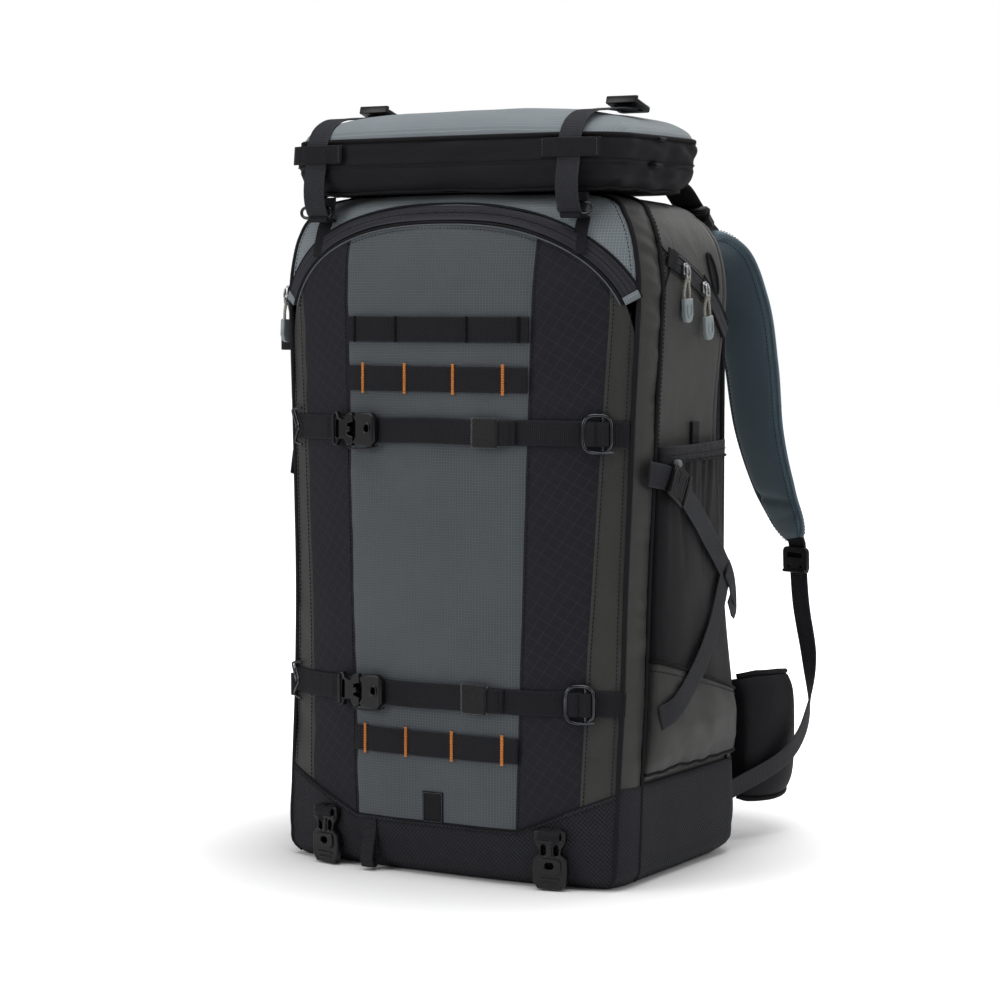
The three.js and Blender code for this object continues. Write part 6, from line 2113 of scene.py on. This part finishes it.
pad_seat = harness_face + 0.0003
side_pad_room, lumbar_room, wing_rest, wing_clear, strap_clear = 0.0165, 0.0205, 0.0186, 0.0200, 0.004
side_ring = rounded_ring(0.111, 0.2264, 0.018, 64, (0.0695, 0.3168))
pad_layers = [
    (0.96, pad_seat), (0.985, pad_seat + 0.003), (0.96, pad_seat + 0.008), (0.86, pad_seat + 0.0105),
]
side_pad = flattened(swollen(pad_mesh("pad", side_ring, pad_layers)), pad_seat, pad_seat + side_pad_room)
bridge_ring = rounded_ring(0.050, 0.203, 0.010, 40, (0, 0.3165))
bridge_layers = [(1.0, pad_seat), (1.0, pad_seat + 0.0030), (0.92, pad_seat + 0.0046)]
bridge = pad_mesh("bridge", bridge_ring, bridge_layers)
lumbar_ring = rounded_ring(0.252, 0.092, 0.024, 72, (0, 0.114))
lumbar_layers = [
    (0.97, pad_seat), (0.985, pad_seat + 0.004), (0.965, pad_seat + 0.011), (0.88, pad_seat + 0.0145),
]
lumbar = flattened(swollen(pad_mesh("pad", lumbar_ring, lumbar_layers)), pad_seat, pad_seat + lumbar_room)


def furrow(mesh, lines, depth=0.004, half=0.006):
    """Sewn channels pressed into a pad: lines of (x, z) points."""
    points = np.array([v.co for v in mesh.vertices])
    for line in lines:
        line = even_path(line, 0.003)
        near = np.min(
            np.hypot(points[:, None, 0] - line[None, :, 0], points[:, None, 2] - line[None, :, 1]), axis=1,
        )
        sink = depth * np.exp(-((near / half) ** 2)) * (points[:, 1] > pad_seat + 0.005)
        points[:, 1] -= sink
    mesh.vertices.foreach_set("co", points.ravel())
    mesh.update()


furrow(
    side_pad,
    [[(0.030, 0.275), (0.108, 0.262)], [(0.030, 0.350), (0.108, 0.340)], [(0.040, 0.412), (0.100, 0.404)]],
)
furrow(lumbar, [[(-0.040, 0.075), (-0.030, 0.155)], [(0.040, 0.075), (0.030, 0.155)]])
back_pads = join_meshes("back_pads", [side_pad, mirror_mesh(side_pad), bridge], [air_mesh])
lumbar_pad = link_mesh("lumbar_cushion", lumbar, [air_mesh])
for pad, cad_node in ((back_pads, "back_pad"), (lumbar_pad, "lumbar_pad")):
    fine = pad.modifiers.new("fine", "SUBSURF")
    fine.levels = fine.render_levels = 1
    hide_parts(cad_node)

# Shoulder straps: brushed blue-grey knit over foam, their edges bound, with a stitched line inside each
# edge and a crease above the pointed foot. They rise from the back panel, curve over and end in webbing.
harness_knit = cloth_material(
    "harness_knit", shade("#50626d"), shade("#5e707a"), rough=0.7, thread=0.0006, bump=0.5, sheen=0.35,
    crease=0.06,
)
shoulder_points = np.array(
    [
        (0.072, 0.008, 0.452), (0.073, 0.018, 0.492), (0.080, 0.047, 0.514), (0.092, 0.079, 0.503),
        (0.103, 0.098, 0.462), (0.112, 0.104, 0.405), (0.119, 0.107, 0.345), (0.132, 0.112, 0.295),
        (0.149, 0.119, 0.252),
    ]
) + (0, harness_face, 0)
shoulder_shares = [0.8, 0.95, 1, 1, 0.97, 0.92, 0.86, 0.78, 0.6]
shoulder_width, shoulder_thick = 0.066, 0.013


def padded_band(route, across, shares, width, thick, features, count=26, round_end=0.0):
    """A padded band along a route: an oval section, its edges flat, with sewn features pressed in."""
    line = smooth_path(route, 0.0035)
    steps = len(line)
    t = np.linspace(0, 1, steps)
    wide = np.interp(t, np.linspace(0, 1, len(shares)), shares) * width
    wide *= np.sqrt(1 - round_end * np.clip((t - 0.94) / 0.06, 0, 1) ** 2)
    ahead = np.gradient(line, axis=0)
    ahead /= np.linalg.norm(ahead, axis=1, keepdims=True)
    side = across(t)
    side -= (side * ahead).sum(1, keepdims=True) * ahead
    side /= np.linalg.norm(side, axis=1, keepdims=True)
    face = np.cross(ahead, side)
    half = count // 2
    u = np.concatenate([np.linspace(-1, 1, half + 1), np.linspace(1, -1, half + 1)[1:-1]])
    top = np.concatenate([np.ones(half + 1), -np.ones(half - 1)])
    u = np.sin(u * math.pi / 2) * 0.35 + u * 0.65
    profile = (1 - np.abs(u) ** 3.2) ** 0.55
    press = features(t[:, None], u[None, :], top[None, :])
    ends = np.clip(np.minimum(t, 1 - t) / 0.02, 0, 1)[:, None] ** 0.5
    rise = (0.0009 + (thick / 2 - 0.0009) * profile[None, :] * ends) * top[None, :] + press
    grid = line[:, None] + side[:, None] * (
        u[None, :, None] * wide[:, None, None] / 2
    ) + face[:, None] * rise[..., None]
    length = run_length(line)
    flat = np.stack(np.broadcast_arrays(u[None, :] * width / 2, length[:, None]), -1)
    closed = np.concatenate([[grid[0].mean(0) + (grid[0] - grid[0].mean(0)) * s for s in (0.02, 0.5)], grid,
                             [grid[-1].mean(0) + (grid[-1] - grid[-1].mean(0)) * s for s in (0.5, 0.02)]])
    flat = np.concatenate([flat[:1], flat[:1], flat, flat[-1:], flat[-1:]])
    return closed, flat, line, side, face, wide


def shoulder_across(t):
    return np.stack([np.ones_like(t), -0.25 - 0.15 * t, 0.1 - 0.45 * t], -1)


def shoulder_features(t, u, top):
    seam = np.exp(-(((np.abs(u) - 0.86) / 0.035) ** 2)) * 0.0012
    crease = np.exp(
        -(((t - 0.90 - 0.02 * u) / 0.010) ** 2)
    ) * 0.0034 + np.exp(-(((t - 0.945) / 0.008) ** 2)) * 0.0016
    cap = np.exp(-(((t - 0.20 - 0.05 * np.abs(u)) / 0.008) ** 2)) * 0.0022
    return -(seam + crease + cap) * top


def mirrored_band(name, made, finish, slot, low_y=None):
    """Both copies of a band made by padded_band."""
    points, flat = made[0].copy(), made[1]
    if low_y is not None:
        points[..., 1] = np.maximum(points[..., 1], low_y)
    right = panel(f"{name}_right", points, flat, [finish], slot, thick=0.0, loop=True)
    left = panel(
        f"{name}_left", points[:, ::-1] * (-1, 1, 1), flat[:, ::-1], [finish], slot, thick=0.0, loop=True,
    )
    return right, left


shoulder = padded_band(
    shoulder_points, shoulder_across, shoulder_shares, shoulder_width, shoulder_thick, shoulder_features,
    round_end=0.72,
)
for side, strap in zip(
    ("right", "left"), mirrored_band("shoulder_cloth", shoulder, harness_knit, "harness_cloth", pad_seat),
):
    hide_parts(f"shoulder_strap_{side}")
_, _, strap_line, strap_side, strap_face, strap_wide = shoulder
shoulder_trim, shoulder_thread = [], []
on_strap = strap_line[:, 1] > pad_seat + strap_clear
for edge in (-1, 1):
    rim = strap_line + strap_side * (edge * strap_wide[:, None] / 2)
    shoulder_trim.append(
        sweep_mesh("binding", rim[on_strap], strap_side[on_strap] * edge, round_section(0.0019))
    )
    for top in (-1, 1):
        row = strap_line + strap_side * (edge * 0.86 * strap_wide[:, None] / 2) + strap_face * top * 0.0040
        shoulder_thread.append(
            stitch_mesh(row[on_strap], strap_face[on_strap] * top, thick=0.0006, off=0.0002)
        )
join_meshes(
    "shoulder_binding", shoulder_trim + [mirror_mesh(m) for m in shoulder_trim], [harness_knit],
)
join_meshes(
    "shoulder_stitches", shoulder_thread + [mirror_mesh(m) for m in shoulder_thread], [thread_black],
)

# Webbing from each shoulder strap's foot down over the belt to the base's rear corner, through a lock.
strap_foot = shoulder_points[-1]
rear_corner = np.array((body_width / 2 - 0.016, back_reach - 0.004, 0.046))
web_route = [
    strap_foot + (0.0013, 0.0005, -0.0034), strap_foot + (0.005, 0.001, -0.056),
    strap_foot + (0.013, 0.002, -0.106),
]
web_route += [strap_foot + (0.022, -0.018, -0.146), rear_corner + (0.027, 0.074, 0.028), rear_corner]
web_line = smooth_path(web_route)
web_turn = np.clip((np.linspace(0, 12, len(web_line)) - 3) / 4, 0, 1)[:, None]
web_turn = web_turn * web_turn * (3 - 2 * web_turn)
web_across = mix(np.array((1, -0.35, 0)), np.array((0.15, -0.6, 0.8)), web_turn)
web_mesh = laid_band("web", web_line, web_across, flat_section(web_width, web_thick))
link_line = smooth_path([strap_line[-6], strap_line[-1], web_line[2], web_line[10]])
foot_link = laid_band("link", link_line, (1, -0.35, 0), flat_section(web_width, 0.0022))
lock_along = Vector(web_line[0] - web_line[3]).normalized()
lock_side = Vector((1, -0.35, 0)).normalized()
lock_place = Vector(web_line[0]) - lock_along * 0.015 + Vector((0, -0.001, 0))
shoulder_lock = [
    moulded_mesh(
        [
            rounded_outline(0.029, 0.022, 0.0045, 4),
            rounded_outline(0.018, 0.0040, 0.0012, 3, (0, 0.0040)),
            rounded_outline(0.0026, 0.0026, 0.0012, 4, (-0.0070, -0.0062)),
            rounded_outline(0.0026, 0.0026, 0.0012, 4, (0.0070, -0.0062)),
        ],
        0.0040, lock_place, lock_side, lock_along,
    ),
    moulded_mesh(
        [rounded_outline(0.0270, 0.0028, 0.0012, 3, (0, -0.0098))], 0.0060, lock_place, lock_side,
        lock_along,
    ),
]
for side, turn in (("right", lambda mesh: mesh), ("left", mirror_mesh)):
    web = link_mesh(f"shoulder_web_{side}_webbing", turn(web_mesh.copy()), [charcoal_webbing])
    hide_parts(f"shoulder_web_{side}")
    link_mesh(f"shoulder_foot_link_{side}", turn(foot_link.copy()), [charcoal_webbing])
    lock = join_meshes(
        f"shoulder_lock_{side}_moulded", [turn(m.copy()) for m in shoulder_lock], [buckle_black],
    )
    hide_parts(f"shoulder_lock_{side}")

# Waist belt: black padded wings that curl back from the lumbar pad, each with a zipped pocket sewn on its
# outside, joined by wide webbing and a side-release buckle.
belt_half, belt_z = panel_half, 0.088
belt_points = np.array(
    [
        (belt_half - 0.014, 0.012, belt_z + 0.004), (belt_half + 0.014, 0.030, belt_z + 0.002),
        (belt_half + 0.022, 0.066, belt_z), (belt_half + 0.010, 0.104, belt_z - 0.002),
        (belt_half - 0.024, 0.130, belt_z - 0.004), (belt_half - 0.066, 0.140, belt_z - 0.004),
    ]
) + (0, harness_face, 0)


def belt_features(t, u, top):
    outline = np.maximum(np.abs(u) / 0.68, np.abs(t - 0.46) / 0.30)
    pocket = 0.0022 / (1 + np.exp((outline - 1) / 0.03))
    seam = np.exp(-((outline - 1.06) / 0.03) ** 2) * 0.0016
    zip_groove = np.exp(-(((u - 0.40) / 0.035) ** 2)) * np.exp(-(((t - 0.46) / 0.27) ** 6)) * 0.0022
    edge = np.exp(-(((np.abs(u) - 0.88) / 0.03) ** 2)) * 0.0012
    return np.where(top < 0, -(pocket - seam - zip_groove - edge), -edge)


belt_shares = [0.85, 1, 1, 0.96, 0.88, 0.74, 0.55]
belt_height, belt_thick = 0.108, 0.017


def belt_across(t):
    return np.tile((0.0, 0.0, 1.0), (len(t), 1))


belt = padded_band(belt_points, belt_across, belt_shares, belt_height, belt_thick, belt_features)
for side, wing in zip(
    ("right", "left"), mirrored_band("belt_cloth", belt, black_weave, "black_cloth", pad_seat + wing_rest),
):
    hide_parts(f"belt_wing_{side}")
_, _, belt_line, belt_side, belt_face, belt_wide = belt
belt_trim = []
for edge in (-1, 1):
    rim = belt_line + belt_side * (edge * belt_wide[:, None] / 2)
    clear = rim[:, 1] > pad_seat + wing_clear
    belt_trim.append(sweep_mesh("binding", rim[clear], belt_side[clear] * edge, round_section(0.0022)))
belt_run = (np.linspace(0, 1, len(belt_line)) > 0.19) & (np.linspace(0, 1, len(belt_line)) < 0.73)
zip_on_belt = belt_line - belt_face * 0.0085 + belt_side * (0.40 * belt_wide[:, None] / 2)
belt_zip = sweep_mesh("tape", zip_on_belt[belt_run], -belt_face[belt_run], flat_section(0.0105, 0.0012, 9))
belt_trim_pair = belt_trim + [mirror_mesh(m) for m in belt_trim]
join_meshes("belt_binding", belt_trim_pair, [thread_black])
join_meshes("belt_zips", [belt_zip, mirror_mesh(belt_zip)], [side_tape])

belt_end = belt_points[-1]
belt_web_width, belt_web_thick = 0.038, 0.0015
span = np.linspace(-1, 1, 60)
belt_web_line = np.stack(
    [span * (belt_end[0] - 0.0008), belt_end[1] + 0.006 * (1 - span**2) + 0.001, np.full(60, belt_end[2])],
    1,
)
belt_web = link_mesh(
    "belt_web_webbing",
    sweep_mesh("web", belt_web_line, (0, 1, 0), flat_section(belt_web_width, belt_web_thick, 12)),
    [black_webbing],
)
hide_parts("belt_web")
buckle_seat = Vector((0, belt_end[1] + 0.007 + belt_web_thick / 2 + 0.0003, belt_end[2]))
buckle_right, buckle_up = Vector((-1, 0, 0)), Vector((0, 0, 1))
body_outline = [
    (-0.032, -0.019), (-0.026, -0.025), (0.004, -0.025), (0.010, -0.020), (0.010, 0.020), (0.004, 0.025),
    (-0.026, 0.025), (-0.032, 0.019),
]
belt_buckle_plates = [
    moulded_mesh(
        [body_outline, rounded_outline(0.0060, 0.0320, 0.0025, 4, (-0.0240, 0))], 0.0080, buckle_seat,
        buckle_right, buckle_up, 0.0016,
    ),
    moulded_mesh(
        [rounded_outline(0.0200, 0.0260, 0.0060, 5, (-0.0060, 0))], 0.0092, buckle_seat, buckle_right,
        buckle_up, 0.0016,
    ),
    moulded_mesh(
        [
            [
                (0.0110, -0.0180), (0.0160, -0.0240), (0.0290, -0.0220), (0.0320, -0.0180),
                (0.0320, 0.0180), (0.0290, 0.0220), (0.0160, 0.0240), (0.0110, 0.0180),
            ],
            rounded_outline(0.0050, 0.0320, 0.0020, 4, (0.0260, 0)),
        ],
        0.0074, buckle_seat, buckle_right, buckle_up, 0.0014,
    ),
    moulded_mesh(
        [rounded_outline(0.0090, 0.0050, 0.0020, 4, (0.0090, 0.0195))], 0.0070, buckle_seat, buckle_right,
        buckle_up,
    ),
    moulded_mesh(
        [rounded_outline(0.0090, 0.0050, 0.0020, 4, (0.0090, -0.0195))], 0.0070, buckle_seat, buckle_right,
        buckle_up,
    ),
]
waist_buckle = join_meshes("belt_buckle_moulded", belt_buckle_plates, [buckle_black])
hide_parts("belt_buckle")

# Grab handle: a loop of thick webbing at the head of the back panel, sewn down at both feet.
handle_half, handle_foot = 0.034, panel_head - 0.016
handle_points = np.array(
    [
        (-handle_half, 0.002, handle_foot), (-handle_half, 0.012, handle_foot + 0.012),
        (-handle_half + 0.004, 0.017, handle_foot + 0.036), (0, 0.018, handle_foot + 0.047),
        (handle_half - 0.004, 0.017, handle_foot + 0.036), (handle_half, 0.012, handle_foot + 0.012),
        (handle_half, 0.002, handle_foot),
    ]
) + (0, pad_seat, 0)
handle_line = smooth_path(handle_points)
handle_mesh = laid_band("handle", handle_line, (0, 1, 0), flat_section(0.015, 0.0038))
handle_feet = []
for x in (-handle_half, handle_half):
    foot_line = np.array(
        [(x, pad_seat + 0.0012, z) for z in np.linspace(handle_foot - 0.020, handle_foot + 0.004, 12)]
    )
    handle_feet.append(sweep_mesh("foot", foot_line, (0, 1, 0), flat_section(0.018, 0.0016)))
    for z in (handle_foot - 0.017, handle_foot - 0.009, handle_foot - 0.001):
        row = np.array([(x + s, pad_seat + 0.0022, z) for s in np.linspace(-0.007, 0.007, 8)])
        handle_feet.append(stitch_mesh(row, (0, 1, 0), pitch=0.0024, length=0.0016))
handle = join_meshes("grab_handle_webbing", [handle_mesh] + handle_feet, [black_webbing])
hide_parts("grab_handle")
